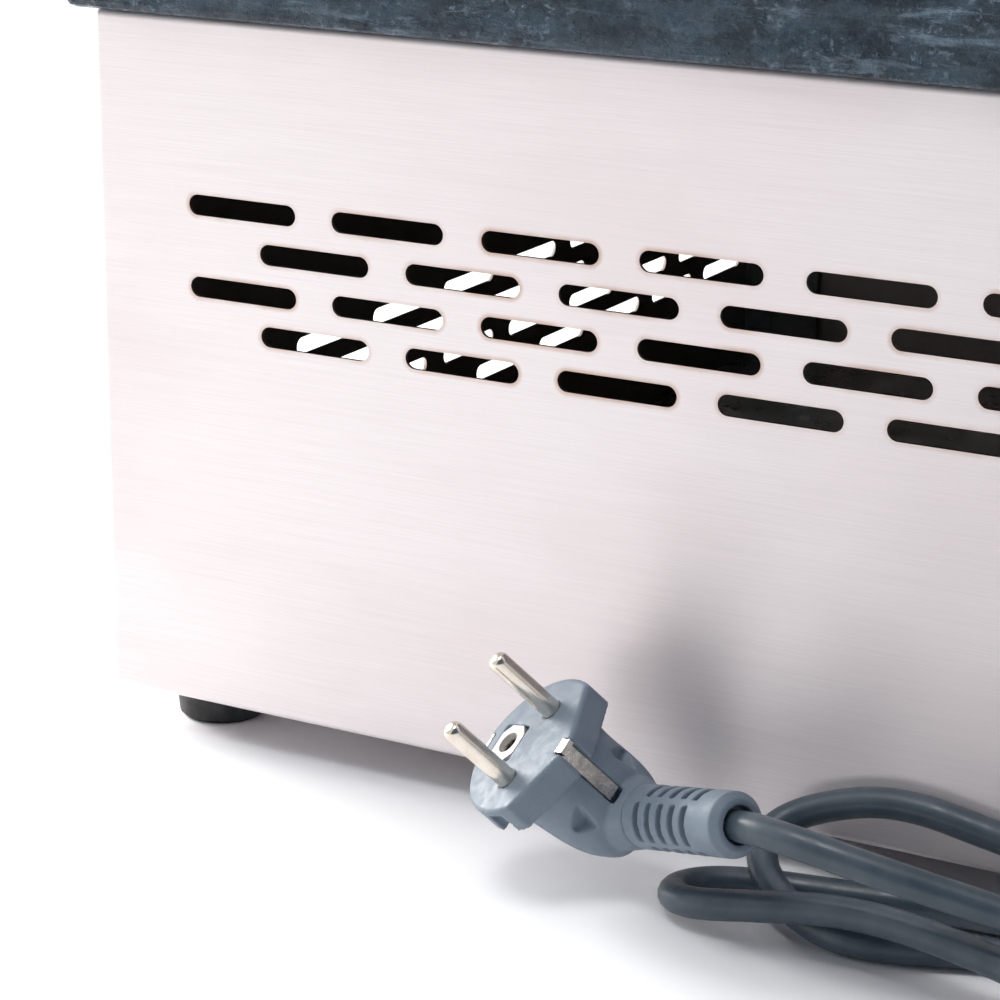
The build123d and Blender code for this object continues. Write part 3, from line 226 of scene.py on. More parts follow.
def apply_all(piece):
    """Every modifier of the piece is applied, in order."""
    pick(piece)
    for modifier in list(piece.modifiers):
        bpy.ops.object.modifier_apply(modifier=modifier.name)


def give(piece, finish):
    """The piece has this finish all over."""
    piece.data.materials.clear()
    piece.data.materials.append(finish)


def give_nodes(finish, *names):
    """These CAD pieces have this finish in each of their slots."""
    for name in names:
        piece = frame["nodes"][name]
        if not piece.material_slots:
            piece.data.materials.append(finish)
        for slot in piece.material_slots:
            slot.material = finish


def nodes_in(slot):
    """Names of the CAD pieces in a material slot."""
    return [name for name, its_slot in SLOT_OF.items() if its_slot == slot]


def merged_copy(name, new_name):
    """A CAD piece's shape as a new object, its doubles merged, ready to be worked on."""
    source = frame["nodes"][name]
    copy = bpy.data.objects.new(new_name, source.data.copy())
    bpy.context.scene.collection.objects.link(copy)
    pick(copy)
    bpy.ops.object.mode_set(mode="EDIT")
    bpy.ops.mesh.select_all(action="SELECT")
    bpy.ops.mesh.remove_doubles(threshold=0.00001)
    bpy.ops.mesh.customdata_custom_splitnormals_clear()
    bpy.ops.object.mode_set(mode="OBJECT")
    return copy


# ---------------------------------------------------------------- help for finishes
def add(tree, kind, inputs=None, **choices):
    """A node; inputs gives its sockets a value or another node's output."""
    made = tree.nodes.new(kind)
    for name, value in choices.items():
        setattr(made, name, value)
    for key, value in (inputs or {}).items():
        if isinstance(value, bpy.types.NodeSocket):
            tree.links.new(value, made.inputs[key])
        else:
            made.inputs[key].default_value = value
    return made


def new_finish(name, colour, metallic, roughness):
    """A material and its surface shader."""
    finish = bpy.data.materials.new(name)
    finish.use_nodes = True
    surface = finish.node_tree.nodes["Principled BSDF"]
    surface.inputs["Base Color"].default_value = (*colour, 1.0)
    surface.inputs["Metallic"].default_value = metallic
    surface.inputs["Roughness"].default_value = roughness
    finish.diffuse_color = (*colour, 1.0)
    return finish, finish.node_tree, surface


def place(tree, stretch=(1.0, 1.0, 1.0), turn=(0.0, 0.0, 0.0)):
    """The piece's own coordinates, stretched for a pattern with a direction."""
    where = add(tree, "ShaderNodeTexCoord")
    mapping = add(tree, "ShaderNodeMapping", {"Vector": where.outputs["Object"]})
    mapping.inputs["Scale"].default_value = stretch
    mapping.inputs["Rotation"].default_value = turn
    return mapping.outputs["Vector"]


def noise(tree, where, scale, detail=3.0, rough=0.55, distortion=0.0):
    """Cloudy pattern from 0 to 1."""
    made = add(tree, "ShaderNodeTexNoise", {
        "Vector": where, "Scale": scale, "Detail": detail, "Roughness": rough, "Distortion": distortion})
    return made.outputs["Fac"]


def spread(tree, value, low, high, to_low=0.0, to_high=1.0):
    """The value between low and high becomes one between to_low and to_high."""
    made = add(tree, "ShaderNodeMapRange", {
        "Value": value, "From Min": low, "From Max": high, "To Min": to_low, "To Max": to_high},
        interpolation_type="SMOOTHSTEP")
    return made.outputs["Result"]


def sum_up(tree, kind, first, second):
    """One step of arithmetic."""
    return add(tree, "ShaderNodeMath", {0: first, 1: second}, operation=kind).outputs[0]


def blend_colours(tree, amount, first, second):
    """One colour into another; a colour is three numbers or a node's output."""
    made = tree.nodes.new("ShaderNodeMix")
    made.data_type = "RGBA"
    for socket, value in ((made.inputs[0], amount), (made.inputs[6], first), (made.inputs[7], second)):
        if isinstance(value, bpy.types.NodeSocket):
            tree.links.new(value, socket)
        elif isinstance(value, (int, float)):
            socket.default_value = value
        else:
            socket.default_value = (*value, 1.0)
    return made.outputs[2]


def raise_surface(tree, surface, height, distance, under=None):
    """Small relief from a height pattern; under is a relief that is already there."""
    inputs = {"Height": height, "Distance": distance, "Strength": 1.0}
    if under is not None:
        inputs["Normal"] = under
    made = add(tree, "ShaderNodeBump", inputs)
    tree.links.new(made.outputs["Normal"], surface.inputs["Normal"])
    return made.outputs["Normal"]


def set_inputs(finish, inputs):
    """Gives sockets of the surface shader a value."""
    surface = finish.node_tree.nodes["Principled BSDF"]
    for name, value in inputs.items():
        surface.inputs[name].default_value = value


def worn_finish(name, light, dark, metallic, roughness, patch=60.0, grain=1800.0, relief=0.00003,
                stretch=(1.0, 1.0, 1.0), polish=0.12):
    """Finish with clouded colour, uneven polish and a fine relief."""
    finish, tree, surface = new_finish(name, light, metallic, roughness)
    where = place(tree)
    directed = place(tree, stretch)
    clouds = spread(tree, noise(tree, where, patch, 5.0, 0.6), 0.32, 0.68)
    tree.links.new(blend_colours(tree, clouds, light, dark), surface.inputs["Base Color"])
    rubbed = noise(tree, where, patch * 2.7, 4.0, 0.6)
    tree.links.new(
        spread(tree, rubbed, 0.3, 0.7, roughness - polish, roughness + polish),
        surface.inputs["Roughness"])
    raise_surface(tree, surface, noise(tree, directed, grain, 3.0, 0.6), relief)
    return finish


# ---------------------------------------------------------------- stage and camera
class HEATER_OT_camera(bpy.types.Operator):
    """Places the camera behind and above the rear left corner"""

    bl_idname = "heater.camera"
    bl_label = "Camera"

    def execute(self, context):
        clear_selection()
        right, down = Vector(CAMERA_RIGHT).normalized(), Vector(CAMERA_DOWN).normalized()
        up = -down
        back = right.cross(up)
        turned = Matrix((right, up, back)).transposed().to_4x4()
        bpy.ops.object.camera_add(location=CAMERA_AT)
        camera = context.object
        camera.name = "heater_camera"
        camera.matrix_world = Matrix.Translation(CAMERA_AT) @ turned
        camera.data.lens = CAMERA_LENS
        camera.data.sensor_width = 36.0
        camera.data.clip_start = 0.01
        context.scene.camera = camera
        return {"FINISHED"}


def soft_light(name, at, towards, size, power, colour):
    """A large square light that faces a point."""
    bpy.ops.object.light_add(type="AREA", location=at)
    light = bpy.context.object
    light.name = name
    light.data.shape = "RECTANGLE"
    light.data.size, light.data.size_y = size
    light.data.energy = power
    light.data.color = colour
    aim = Vector(towards) - Vector(at)
    light.rotation_mode = "QUATERNION"
    light.rotation_quaternion = aim.to_track_quat("-Z", "Y")
    return light


class HEATER_OT_stage(bpy.types.Operator):
    """Adds the pale floor and the soft studio light"""

    bl_idname = "heater.stage"
    bl_label = "Floor and light"

    def execute(self, context):
        chosen = settings("heater_stage")
        clear_selection()
        bpy.ops.mesh.primitive_plane_add(size=14.0, location=(0.0, 0.0, -0.0002))
        floor = context.object
        floor.name = "studio_floor"
        apply_place(floor)
        finish, tree, surface = new_finish("pale_floor", chosen.floor_colour, 0.0, 0.7)
        clouds = noise(tree, place(tree), 3.0, 4.0)
        lighter = [min(1.0, part + 0.02) for part in chosen.floor_colour]
        tree.links.new(
            blend_colours(tree, clouds, tuple(chosen.floor_colour), lighter),
            surface.inputs["Base Color"])
        give(floor, finish)

        world = bpy.data.worlds.new("studio_sky")
        context.scene.world = world
        world.use_nodes = True
        tree = world.node_tree
        where = add(tree, "ShaderNodeTexCoord").outputs["Generated"]
        axes = add(tree, "ShaderNodeSeparateXYZ", {"Vector": where})
        lean = sum_up(
            tree, "ADD", axes.outputs["X"], sum_up(tree, "MULTIPLY", axes.outputs["Y"], -0.35))
        shade = spread(tree, lean, -0.22, 0.06, 1.0, 0.0)
        ahead = spread(tree, axes.outputs["Y"], 0.05, 0.35)
        dim = sum_up(tree, "MULTIPLY", shade, ahead)
        sky = tree.nodes["Background"]
        tree.links.new(
            blend_colours(tree, dim, (1.0, 1.0, 1.0), tuple(chosen.shade_colour)), sky.inputs["Color"])
        sky.inputs["Strength"].default_value = chosen.sky

        soft_light(
            "key_light", (0.92, 1.52, 0.34), (0.1, 0.2, 0.12), (0.45, 0.6), chosen.key, (1.0, 1.0, 1.0))
        soft_light(
            "top_light", (0.35, 0.75, 1.75), (0.0, 0.15, 0.1), (0.6, 0.6), chosen.top,
            (0.97, 0.98, 1.0))
        soft_light(
            "side_light", (1.25, -0.05, 0.42), (0.2, 0.0, 0.06), (0.5, 0.5), chosen.side,
            (1.0, 0.98, 0.95))
        context.scene.view_settings.view_transform = "Standard"
        return {"FINISHED"}


# ---------------------------------------------------------------- lead and plug
def jacket_finish():
    """Satin black-blue jacket, with a faint fine relief and handling marks."""
    chosen = settings("heater_lead")
    finish = worn_finish(
        "lead_jacket", tuple(chosen.colour), (0.056, 0.078, 0.100), 0.0, 0.40, patch=90.0,
        grain=2600.0, relief=0.00002, polish=0.10)
    set_inputs(finish, {"Specular IOR Level": 0.55})
    return finish


class HEATER_OT_lead(bpy.types.Operator):
    """Lays the supply lead from the gland to the plug along its route"""

    bl_idname = "heater.lead"
    bl_label = "Supply lead"

    def execute(self, context):
        chosen = settings("heater_lead")
        clear_selection()
        curve = bpy.data.curves.new("supply_lead", "CURVE")
        curve.dimensions = "3D"
        line = curve.splines.new("NURBS")
        line.points.add(len(LEAD_ROUTE) - 1)
        for point, at in zip(line.points, LEAD_ROUTE):
            point.co = (*at, 1.0)
        line.order_u = 3
        line.use_endpoint_u = True
        line.resolution_u = 10
        curve.bevel_depth = chosen.diameter / 2
        curve.bevel_resolution = 6
        curve.use_fill_caps = True
        lead = bpy.data.objects.new("supply_lead", curve)
        context.scene.collection.objects.link(lead)
        give(lead, jacket_finish())
        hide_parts("cord_lead", "cord_hank", "cord_plug_run")
        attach(lead, "housing")
        return {"FINISHED"}


def moulded_finish(name, grain):
    """Moulded plug plastic: fine spark texture, polished by handling."""
    chosen = settings("heater_lead")
    finish = worn_finish(
        name, tuple(chosen.plug_colour), (0.195, 0.238, 0.288), 0.0, 0.55, patch=110.0, grain=grain,
        relief=0.00006, polish=0.10)
    set_inputs(finish, {"Specular IOR Level": 0.40})
    return finish


def rounded_moulding(node, name, cell):
    """A CAD piece as one soft-edged moulding."""
    piece = merged_copy(node, name)
    remesh = piece.modifiers.new("cells", "REMESH")
    remesh.mode = "VOXEL"
    remesh.voxel_size = cell
    remesh.use_smooth_shade = True
    smooth = piece.modifiers.new("soften", "SMOOTH")
    smooth.factor = 0.5
    smooth.iterations = 2
    apply_all(piece)
    bpy.ops.object.shade_smooth()
    return piece


class HEATER_OT_plug(bpy.types.Operator):
    """Rounds the plug's mouldings and finishes its pins, insert and earth strips"""

    bl_idname = "heater.plug"
    bl_label = "Plug"

    def execute(self, context):
        chosen = settings("heater_lead")
        mouldings = [
            ("plug_body", chosen.soften, moulded_finish("plug_plastic", 1500.0)),
            ("plug_relief", chosen.soften * 0.8, moulded_finish("relief_plastic", 1900.0)),
        ]
        for node, cell, plastic in mouldings:
            moulding = rounded_moulding(node, node + "_moulding", cell)
            give(moulding, plastic)
            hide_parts(node)
            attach(moulding, "housing")

        pins = worn_finish(
            "pin_nickel", (0.80, 0.74, 0.66), (0.70, 0.62, 0.53), 1.0, 0.20, patch=120.0,
            grain=900.0, relief=0.000006, polish=0.06)
        give_nodes(pins, "plug_pins")
        earth = worn_finish(
            "earth_strip", (0.66, 0.62, 0.58), (0.45, 0.42, 0.40), 1.0, 0.30, patch=300.0)
        give_nodes(earth, "plug_earth")
        insert = worn_finish(
            "insert_plastic", (0.70, 0.68, 0.66), (0.52, 0.50, 0.48), 0.0, 0.45, patch=240.0)
        give_nodes(insert, "plug_insert")
        return {"FINISHED"}


# ---------------------------------------------------------------- slab
def slab_finish():
    """Oiled dark stone with paler cleft edges and painted glints: bright specks in its colour that stand in
    for highlights.
    """
    chosen = settings("heater_slab")
    dark, bright = tuple(chosen.colour), tuple(chosen.bright)
    finish, tree, surface = new_finish("cleft_stone", dark, 0.0, 0.36)
    where = place(tree)
    layered = place(tree, (1.0, 1.0, 2.4))
    veins = place(tree, (0.25, 0.25, 1.5))
    body = spread(tree, noise(tree, layered, 70.0, 8.0, 0.68), 0.36, 0.66)
    base = blend_colours(tree, body, dark, (0.065, 0.112, 0.155))
    # painted glints: small bright specks painted into the colour in place of the highlights on the stone's
    # lumps; the streaks are the stone's own paler veins, in the same colour
    glints = spread(tree, noise(tree, where, 520.0, 6.0, 0.72), 0.54, 0.64)
    streaks = spread(tree, noise(tree, veins, 190.0, 8.0, 0.72, 0.8), 0.53, 0.63)
    marks = sum_up(
        tree, "MAXIMUM", sum_up(tree, "MULTIPLY", glints, 0.55), sum_up(tree, "MULTIPLY", streaks, 0.6))
    patchy = spread(tree, noise(tree, where, 42.0, 4.0), 0.38, 0.60, 0.2, 1.0)
    marks = sum_up(tree, "MULTIPLY", marks, patchy)
    tree.links.new(blend_colours(tree, marks, base, bright), surface.inputs["Base Color"])
    tree.links.new(
        spread(tree, noise(tree, where, 300.0, 4.0), 0.3, 0.7, 0.22, 0.52), surface.inputs["Roughness"])
    drops = add(tree, "ShaderNodeTexVoronoi", {
        "Vector": place(tree, (1.0, 1.0, 1.25)), "Scale": 260.0, "Randomness": 1.0}, feature="SMOOTH_F1")
    beads = sum_up(tree, "MULTIPLY", spread(tree, drops.outputs["Distance"], 0.55, 0.15), patchy)
    ridges = raise_surface(tree, surface, noise(tree, layered, 170.0, 8.0, 0.70), 0.0030)
    beaded = raise_surface(tree, surface, beads, 0.0009, ridges)
    raise_surface(tree, surface, noise(tree, where, 1100.0, 5.0, 0.65), 0.0006, beaded)
    return finish


def lower_rim(middle, size, drop, inward):
    """Draws the selected rim down, and in towards the slab's middle."""
    bpy.ops.mesh.extrude_region_move(TRANSFORM_OT_translate={"value": (0.0, 0.0, -drop)})
    bpy.ops.transform.resize(
        value=(1.0 - 2 * inward / size.x, 1.0 - 2 * inward / size.y, 1.0), center_override=middle)


def slab_blank():
    """The slab with its cells, side walls and rounded lower edge."""
    low, high = Vector(SLAB_LOW), Vector(SLAB_HIGH)
    middle, size = (low + high) / 2, high - low
    rim_z = low.z + STEP_DEPTH
    bpy.ops.mesh.primitive_grid_add(
        x_subdivisions=SLAB_CELLS[0], y_subdivisions=SLAB_CELLS[1], size=1.0,
        location=(middle.x, middle.y, high.z))
    slab = bpy.context.object
    slab.name = "cleft_slab"
    slab.scale = (size.x, size.y, 1.0)
    apply_place(slab)

    bpy.ops.object.mode_set(mode="EDIT")
    bpy.ops.mesh.select_all(action="DESELECT")
    bpy.ops.mesh.select_mode(type="EDGE")
    bpy.ops.mesh.select_non_manifold(extend=False)
    lower_rim(middle, size, high.z - rim_z - 0.0020, 0.0)
    lower_rim(middle, size, 0.0013, 0.0006)
    lower_rim(middle, size, 0.0007, 0.0012)
    bpy.ops.mesh.edge_face_add()
    select_edges(slab, lambda a, b: abs(a.z - b.z) > 0.01)
    bpy.ops.mesh.subdivide(number_cuts=WALL_CUTS, quadcorner="INNERVERT")
    bpy.ops.mesh.select_all(action="SELECT")
    bpy.ops.mesh.normals_make_consistent(inside=False)
    bpy.ops.object.mode_set(mode="OBJECT")
    return slab, rim_z


def slab_step(low, middle, size, rim_z):
    """The step under the slab, a plate with bevelled corners."""
    bpy.ops.mesh.primitive_cube_add(
        size=1.0, location=(middle.x, middle.y, (low.z + rim_z + 0.002) / 2))
    step = bpy.context.object
    step.name = "slab_step"
    step.scale = (size.x - 2 * STEP_INSET, size.y - 2 * STEP_INSET, rim_z + 0.002 - low.z)
    apply_place(step)
    bpy.ops.object.mode_set(mode="EDIT")
    bpy.ops.mesh.select_all(action="SELECT")
    bpy.ops.mesh.bevel(offset=0.0015, segments=2, affect="EDGES")
    bpy.ops.mesh.normals_make_consistent(inside=False)
    bpy.ops.object.mode_set(mode="OBJECT")
    return step


def lumps(piece, name, kind, scale, depth, stretch, middle):
    """One layer of relief on the cleft part, stretched along an empty's axes if asked for."""
    texture = bpy.data.textures.new(name, kind)
    texture.noise_scale = scale
    layer = piece.modifiers.new(name, "DISPLACE")
    layer.texture = texture
    layer.vertex_group = "cleft"
    layer.direction = "NORMAL"
    layer.strength = depth
    layer.mid_level = middle
    if stretch is None:
        layer.texture_coords = "LOCAL"
        return None
    guide = bpy.data.objects.new(name + "_guide", None)
    bpy.context.scene.collection.objects.link(guide)
    guide.scale = stretch
    layer.texture_coords = "OBJECT"
    layer.texture_coords_object = guide
    bpy.context.view_layer.update()
    return guide


class HEATER_OT_slab(bpy.types.Operator):
    """Models the cleft stone slab"""

    bl_idname = "heater.slab"
    bl_label = "Stone slab"

    def execute(self, context):
        chosen = settings("heater_slab")
        clear_selection()
        slab, rim_z = slab_blank()
        rough = slab.vertex_groups.new(name="cleft")
        for vertex in slab.data.vertices:
            reach = (vertex.co.z - rim_z - 0.0018) / 0.003
            rough.add([vertex.index], max(0.0, min(1.0, reach)), "REPLACE")
        guides = [
            lumps(slab, "layers", "CLOUDS", 0.016, chosen.ridge_depth * 2.0, (3.0, 1.2, 0.55), 0.60),
            lumps(slab, "chips", "STUCCI", 0.009, chosen.ridge_depth, (1.6, 1.0, 0.8), 0.52),
            lumps(slab, "grit", "CLOUDS", 0.0040, chosen.grain_depth * 2.6, None, 0.45),
        ]
        apply_all(slab)
        low, high = Vector(SLAB_LOW), Vector(SLAB_HIGH)
        step = slab_step(low, (low + high) / 2, high - low, rim_z)
        pick(slab)
        step.select_set(True)
        bpy.ops.object.join()
        for guide in guides:
            if guide is not None:
                bpy.data.objects.remove(guide)
        pick(slab)
        bpy.ops.object.shade_smooth_by_angle(angle=math.radians(55))
        give(slab, slab_finish())
        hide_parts("stone_slab")
        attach(slab, "slab")
        return {"FINISHED"}


# ---------------------------------------------------------------- housing
def past(tree, value, middle, limit):
    """1 where the value is further than the limit from its middle."""
    offset = sum_up(tree, "SUBTRACT", value, middle)
    away = add(tree, "ShaderNodeMath", {0: offset}, operation="ABSOLUTE")
    return sum_up(tree, "GREATER_THAN", away.outputs[0], limit)


def slot_distance(tree, along, up, first_along, first_up, near_end, far_end):
    """Distance to the nearest slot's edge in a field of staggered rows.

    near_end and far_end are 1 where the even or the odd rows have stopped.
    """
    across = sum_up(tree, "PINGPONG", sum_up(tree, "SUBTRACT", along, first_along), SLOT_PITCH / 2)
    over = sum_up(tree, "PINGPONG", sum_up(tree, "SUBTRACT", up, first_up), SLOT_ROW)
    straight = (SLOT_LENGTH - SLOT_WIDTH) / 2

    def reach(beside, above):
        over_end = sum_up(tree, "MAXIMUM", sum_up(tree, "SUBTRACT", beside, straight), 0.0)
        squared = sum_up(
            tree, "ADD", sum_up(tree, "MULTIPLY", over_end, over_end),
            sum_up(tree, "MULTIPLY", above, above))
        return sum_up(tree, "SUBTRACT", sum_up(tree, "POWER", squared, 0.5), SLOT_WIDTH / 2)

    near = sum_up(tree, "ADD", reach(across, over), near_end)
    far = reach(
        sum_up(tree, "SUBTRACT", SLOT_PITCH / 2, across), sum_up(tree, "SUBTRACT", SLOT_ROW, over))
    return sum_up(tree, "MINIMUM", near, sum_up(tree, "ADD", far, far_end))


def within(tree, value, low, high, soft):
    """1 between low and high, 0 outside, with soft ends."""
    start = spread(tree, value, low - soft, low)
    stop = spread(tree, value, high, high + soft, 1.0, 0.0)
    return sum_up(tree, "MULTIPLY", start, stop)


def steel_finish():
    """Brushed sheet: level grain, clouded polish, burnt slot edges and painted shade on the inner faces."""
    chosen = settings("heater_steel")
    colour = tuple(chosen.colour)
    finish, tree, surface = new_finish("brushed_stainless", colour, 1.0, 0.47)
    where = place(tree)
    axes = add(tree, "ShaderNodeSeparateXYZ", {"Vector": where})
    x, y, z = axes.outputs["X"], axes.outputs["Y"], axes.outputs["Z"]
    strokes = noise(tree, place(tree, (34.0, 34.0, 5200.0)), 1.0, 3.0, 0.55)
    fine = noise(tree, place(tree, (90.0, 90.0, 9000.0)), 1.0, 2.0, 0.5)
    clouds = spread(tree, noise(tree, place(tree, (1.0, 1.0, 1.6)), 9.0, 4.0, 0.5), 0.35, 0.65)
    warmer = [part * share for part, share in zip(colour, (0.985, 0.955, 0.955))]
    warm = blend_colours(tree, clouds, colour, warmer)
    lined = blend_colours(tree, spread(tree, strokes, 0.35, 0.65, 0.0, 0.7), warm, (0.78, 0.725, 0.73))

    low, high = Vector(HOUSING_LOW), Vector(HOUSING_HIGH)
    rear = slot_distance(tree, x, z, *REAR_FIRST, 0.0, past(tree, x, 0.0, 0.180))
    side = slot_distance(tree, y, z, *SIDE_FIRST, past(tree, y, 0.010, 0.160), 0.0)
    outward = add(tree, "ShaderNodeMath", {0: x}, operation="ABSOLUTE").outputs[0]
    rear_field = sum_up(tree, "MULTIPLY", within(tree, z, 0.1035, 0.1405, 0.002),
                        spread(tree, outward, 0.197, 0.199, 1.0, 0.0))
    side_field = sum_up(tree, "MULTIPLY", within(tree, z, 0.0455, 0.0825, 0.002),
                        within(tree, y, -0.167, 0.187, 0.002))
    on_rear = sum_up(
        tree, "MULTIPLY", rear_field, spread(tree, y, high.y - SKIN, high.y - SKIN + 0.0003))
    on_side = sum_up(
        tree, "MULTIPLY", side_field, spread(tree, outward, high.x - SKIN, high.x - SKIN + 0.0003))
    patch = spread(tree, noise(tree, where, 45.0, 3.0), 0.38, 0.62, 0.25, 1.0)
    halo = sum_up(
        tree, "MAXIMUM",
        sum_up(tree, "MULTIPLY", on_rear, spread(tree, rear, 0.0, HALO, 1.0, 0.0)),
        sum_up(tree, "MULTIPLY", on_side, spread(tree, side, 0.0, HALO, 1.0, 0.0)))
    halo = sum_up(tree, "MULTIPLY", sum_up(tree, "MULTIPLY", halo, patch), chosen.burn)
    burnt = blend_colours(tree, halo, lined, (0.45, 0.24, 0.12))

    # painted shade: the inner faces of the sheet are painted a darker grey-brown, standing in for the shade
    # inside the box
    inside_x = spread(tree, outward, high.x - 0.00085, high.x - 0.0007, 1.0, 0.0)
    inside_y = spread(tree, y, high.y - 0.00085, high.y - 0.0007, 1.0, 0.0)
    above = spread(tree, z, high.z - 0.00085, high.z - 0.0007, 1.0, 0.0)
    below = spread(tree, z, low.z + 0.0007, low.z + 0.00085)
    inside = sum_up(tree, "MULTIPLY", sum_up(tree, "MULTIPLY", inside_x, inside_y),
                    sum_up(tree, "MULTIPLY", above, below))
    # the inner faces take the darker colour of the painted shade
    inner_painted_shade = blend_colours(tree, inside, burnt, (0.34, 0.31, 0.29))
    tree.links.new(inner_painted_shade, surface.inputs["Base Color"])
    gloss = spread(tree, clouds, 0.0, 1.0, 0.45, 0.50)
    tree.links.new(
        sum_up(tree, "ADD", gloss, spread(tree, strokes, 0.3, 0.7, -0.015, 0.02)),
        surface.inputs["Roughness"])
    surface.inputs["Anisotropic"].default_value = 0.78
    normal = add(tree, "ShaderNodeNewGeometry").outputs["Normal"]
    level = add(tree, "ShaderNodeVectorMath", {0: normal, 1: (0.0, 0.0, 1.0)}, operation="CROSS_PRODUCT")
    upright = add(
        tree, "ShaderNodeVectorMath", {0: level.outputs["Vector"], 1: normal}, operation="CROSS_PRODUCT")
    tree.links.new(upright.outputs["Vector"], surface.inputs["Tangent"])
    relief = sum_up(
        tree, "ADD", sum_up(tree, "MULTIPLY", strokes, 0.7), sum_up(tree, "MULTIPLY", fine, 0.3))
    raise_surface(tree, surface, relief, chosen.grain_depth)
    return finish


class HEATER_OT_housing(bpy.types.Operator):
    """Finishes the folded stainless sheets"""

    bl_idname = "heater.housing"
    bl_label = "Housing"

    def execute(self, context):
        give_nodes(steel_finish(), "housing_wrap", "front_panel")
        base = worn_finish(
            "base_sheet", (0.70, 0.69, 0.68), (0.58, 0.57, 0.56), 1.0, 0.34, patch=22.0, grain=1.0,
            relief=0.00002, stretch=(30.0, 3200.0, 30.0))
        give_nodes(base, "base_plate")
        return {"FINISHED"}


class HEATER_OT_feet(bpy.types.Operator):
    """Finishes the rubber feet, the gland and its guard"""

    bl_idname = "heater.feet"
    bl_label = "Feet and gland"

    def execute(self, context):
        rubber = worn_finish(
            "foot_rubber", (0.016, 0.017, 0.018), (0.034, 0.034, 0.035), 0.0, 0.62, patch=130.0,
            grain=2200.0, relief=0.00009)
        give_nodes(rubber, "foot_rear_left", "foot_rear_right", "foot_front_left", "foot_front_right")
        guard = worn_finish(
            "guard_rubber", (0.018, 0.021, 0.024), (0.036, 0.039, 0.042), 0.0, 0.55, patch=140.0)
        give_nodes(guard, "cord_guard")
        gland = worn_finish(
            "gland_nylon", (0.020, 0.023, 0.026), (0.040, 0.043, 0.046), 0.0, 0.42, patch=120.0)
        give_nodes(gland, "cable_gland")
        inner = worn_finish(
            "inner_jacket", (0.022, 0.028, 0.034), (0.040, 0.046, 0.052), 0.0, 0.42, patch=90.0)
        give_nodes(inner, "cord_inner_end")
        return {"FINISHED"}


class HEATER_OT_controls(bpy.types.Operator):
    """Finishes the knob, dial, switch and lamp"""

    bl_idname = "heater.controls"
    bl_label = "Controls"

    def execute(self, context):
        plastic = worn_finish(
            "control_plastic", (0.014, 0.014, 0.015), (0.030, 0.030, 0.032), 0.0, 0.32, patch=120.0,
            grain=1600.0, relief=0.00004)
        give_nodes(
            plastic, "control_knob", "switch_frame", "switch_rocker", "thermostat_body", "lamp_body")
        dial = worn_finish(
            "dial_face", (0.78, 0.78, 0.79), (0.68, 0.68, 0.69), 1.0, 0.30, patch=60.0, grain=1.0,
            relief=0.00001, stretch=(40.0, 40.0, 3600.0))
        give_nodes(dial, "dial_plate")
        lens = worn_finish(
            "lamp_red", (0.60, 0.02, 0.008), (0.42, 0.012, 0.006), 0.0, 0.14, patch=300.0, polish=0.05)
        set_inputs(lens, {"Transmission Weight": 0.35, "Coat Weight": 0.6})
        give_nodes(lens, "lamp_lens")
        return {"FINISHED"}


class HEATER_OT_heating(bpy.types.Operator):
    """Finishes the tray, heating elements, thermostat parts and pads"""

    bl_idname = "heater.heating"
    bl_label = "Heating parts"

    def execute(self, context):
        tray = worn_finish(
            "aluminised_tray", (0.62, 0.61, 0.60), (0.42, 0.40, 0.38), 1.0, 0.38, patch=30.0)
        give_nodes(tray, "reflector_tray")
        board = worn_finish(
            "fibre_board", (0.42, 0.39, 0.34), (0.30, 0.28, 0.24), 0.0, 0.90, patch=70.0, grain=900.0,
            relief=0.0003)
        give_nodes(board, "insulation_board")
        sheath = worn_finish(
            "element_sheath", (0.12, 0.11, 0.10), (0.20, 0.15, 0.11), 1.0, 0.50, patch=80.0)
        give_nodes(sheath, "element_left", "element_right")
        ceramic = worn_finish(
            "steatite", (0.80, 0.77, 0.71), (0.66, 0.63, 0.57), 0.0, 0.55, patch=150.0)
        give_nodes(ceramic, "element_bushes", "terminal_block", "thermal_cutout")
        copper = worn_finish(
            "copper", (0.72, 0.38, 0.24), (0.45, 0.22, 0.13), 1.0, 0.32, patch=120.0)
        give_nodes(copper, "sensor_bulb", "capillary_tube")
        silicone = worn_finish(
            "silicone", (0.42, 0.09, 0.05), (0.34, 0.07, 0.04), 0.0, 0.60, patch=200.0)
        give_nodes(silicone, "slab_pads")
        return {"FINISHED"}


def sleeve_finish():
    """Braided glass sleeve over the inner wires."""
    finish, tree, surface = new_finish("glass_sleeve", (0.72, 0.69, 0.62), 0.0, 0.75)
    one = add(tree, "ShaderNodeTexWave", {
        "Vector": place(tree, (1.0, 1.0, 1.0), (0.0, 0.6, 0.7)), "Scale": 420.0, "Distortion": 1.0})
    two = add(tree, "ShaderNodeTexWave", {
        "Vector": place(tree, (1.0, 1.0, 1.0), (0.0, -0.6, -0.7)), "Scale": 420.0, "Distortion": 1.0})
    weave = sum_up(tree, "MULTIPLY", one.outputs["Fac"], two.outputs["Fac"])
    soiled = noise(tree, place(tree), 60.0, 4.0)
    shade = blend_colours(tree, soiled, (0.74, 0.71, 0.64), (0.58, 0.53, 0.45))
    tree.links.new(blend_colours(tree, weave, (0.48, 0.44, 0.38), shade), surface.inputs["Base Color"])
    raise_surface(tree, surface, weave, 0.0002)
    return finish


class HEATER_OT_wiring(bpy.types.Operator):
    """Finishes the inner wires"""

    bl_idname = "heater.wiring"
    bl_label = "Wiring"

    def execute(self, context):
        give_nodes(sleeve_finish(), *nodes_in("wire_sleeve"))
        return {"FINISHED"}


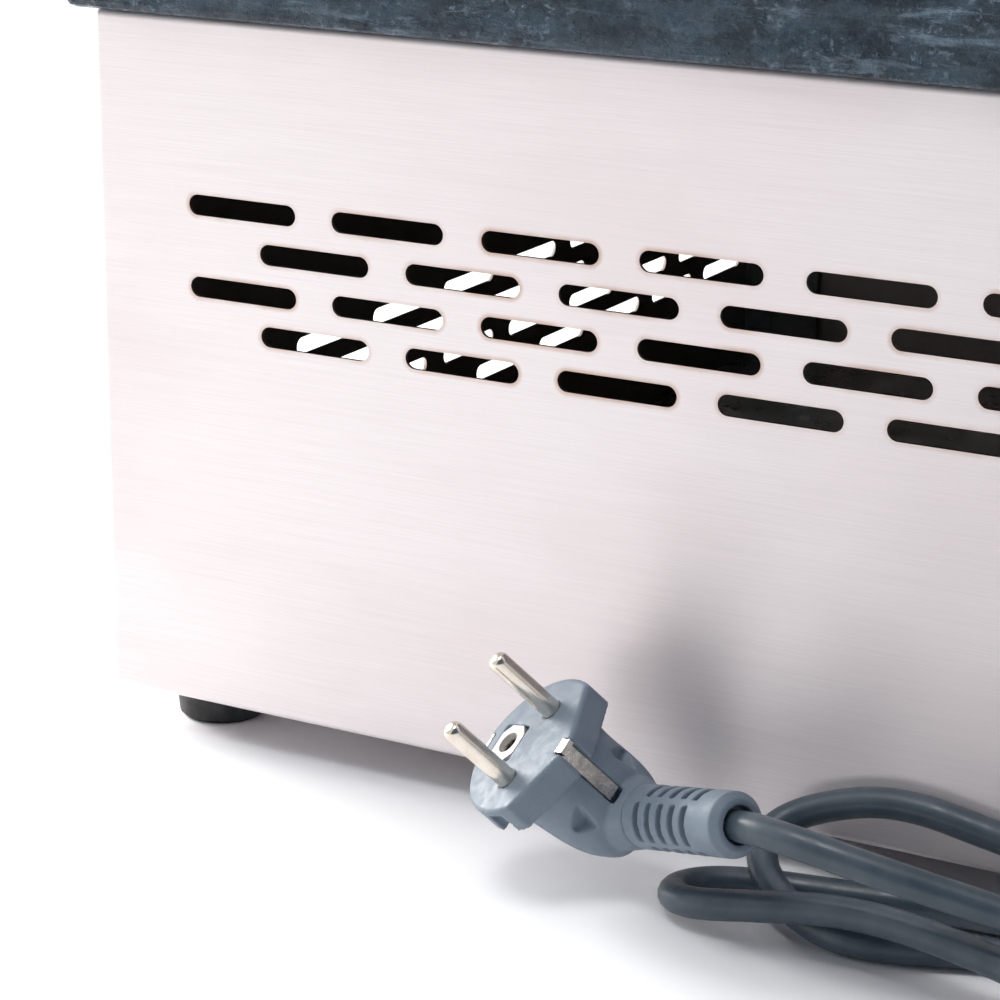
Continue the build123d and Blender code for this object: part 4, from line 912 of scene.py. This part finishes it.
class HEATER_OT_fixings(bpy.types.Operator):
    """Finishes the rails, posts, brackets and screws"""

    bl_idname = "heater.fixings"
    bl_label = "Rails and fixings"

    def execute(self, context):
        zinc = worn_finish(
            "zinc_plate", (0.56, 0.57, 0.58), (0.42, 0.43, 0.44), 1.0, 0.40, patch=48.0)
        give_nodes(zinc, *nodes_in("zinc_steel"))
        bright = worn_finish(
            "bright_plate", (0.70, 0.69, 0.68), (0.55, 0.54, 0.53), 1.0, 0.26, patch=220.0)
        give_nodes(bright, *nodes_in("bright_screws"))
        return {"FINISHED"}


class HEATER_PT_panel(bpy.types.Panel):
    """Builds each piece of the heater"""

    bl_idname = "HEATER_PT_panel"
    bl_label = "Hot stone heater"
    bl_space_type = "VIEW_3D"
    bl_region_type = "UI"
    bl_category = "Heater"

    def draw(self, context):
        for group in GROUPS:
            box = self.layout.box()
            chosen = settings(group)
            for name in chosen.__annotations__:
                box.prop(chosen, name)
        for step in STEPS:
            self.layout.operator(step.bl_idname)


GROUPS = {
    "heater_stage": HeaterStageSettings,
    "heater_steel": HeaterSteelSettings,
    "heater_slab": HeaterSlabSettings,
    "heater_lead": HeaterLeadSettings,
}
STEPS = [
    HEATER_OT_camera, HEATER_OT_stage, HEATER_OT_plug, HEATER_OT_lead, HEATER_OT_slab, HEATER_OT_housing,
    HEATER_OT_feet, HEATER_OT_controls, HEATER_OT_heating, HEATER_OT_wiring, HEATER_OT_fixings,
]


def register():
    """Registers the settings, operators and panel."""
    for name, group in GROUPS.items():
        bpy.utils.register_class(group)
        setattr(bpy.types.Scene, name, bpy.props.PointerProperty(type=group))
    for part in [*STEPS, HEATER_PT_panel]:
        bpy.utils.register_class(part)


def unregister():
    """Removes what register added."""
    for part in [HEATER_PT_panel, *reversed(STEPS)]:
        bpy.utils.unregister_class(part)
    for name, group in GROUPS.items():
        delattr(bpy.types.Scene, name)
        bpy.utils.unregister_class(group)


def main():
    """Builds the whole scene."""
    register()
    for step in STEPS:
        family, name = step.bl_idname.split(".")
        getattr(getattr(bpy.ops, family), name)()
    clear_selection()


if __name__ == "__main__":
    main()
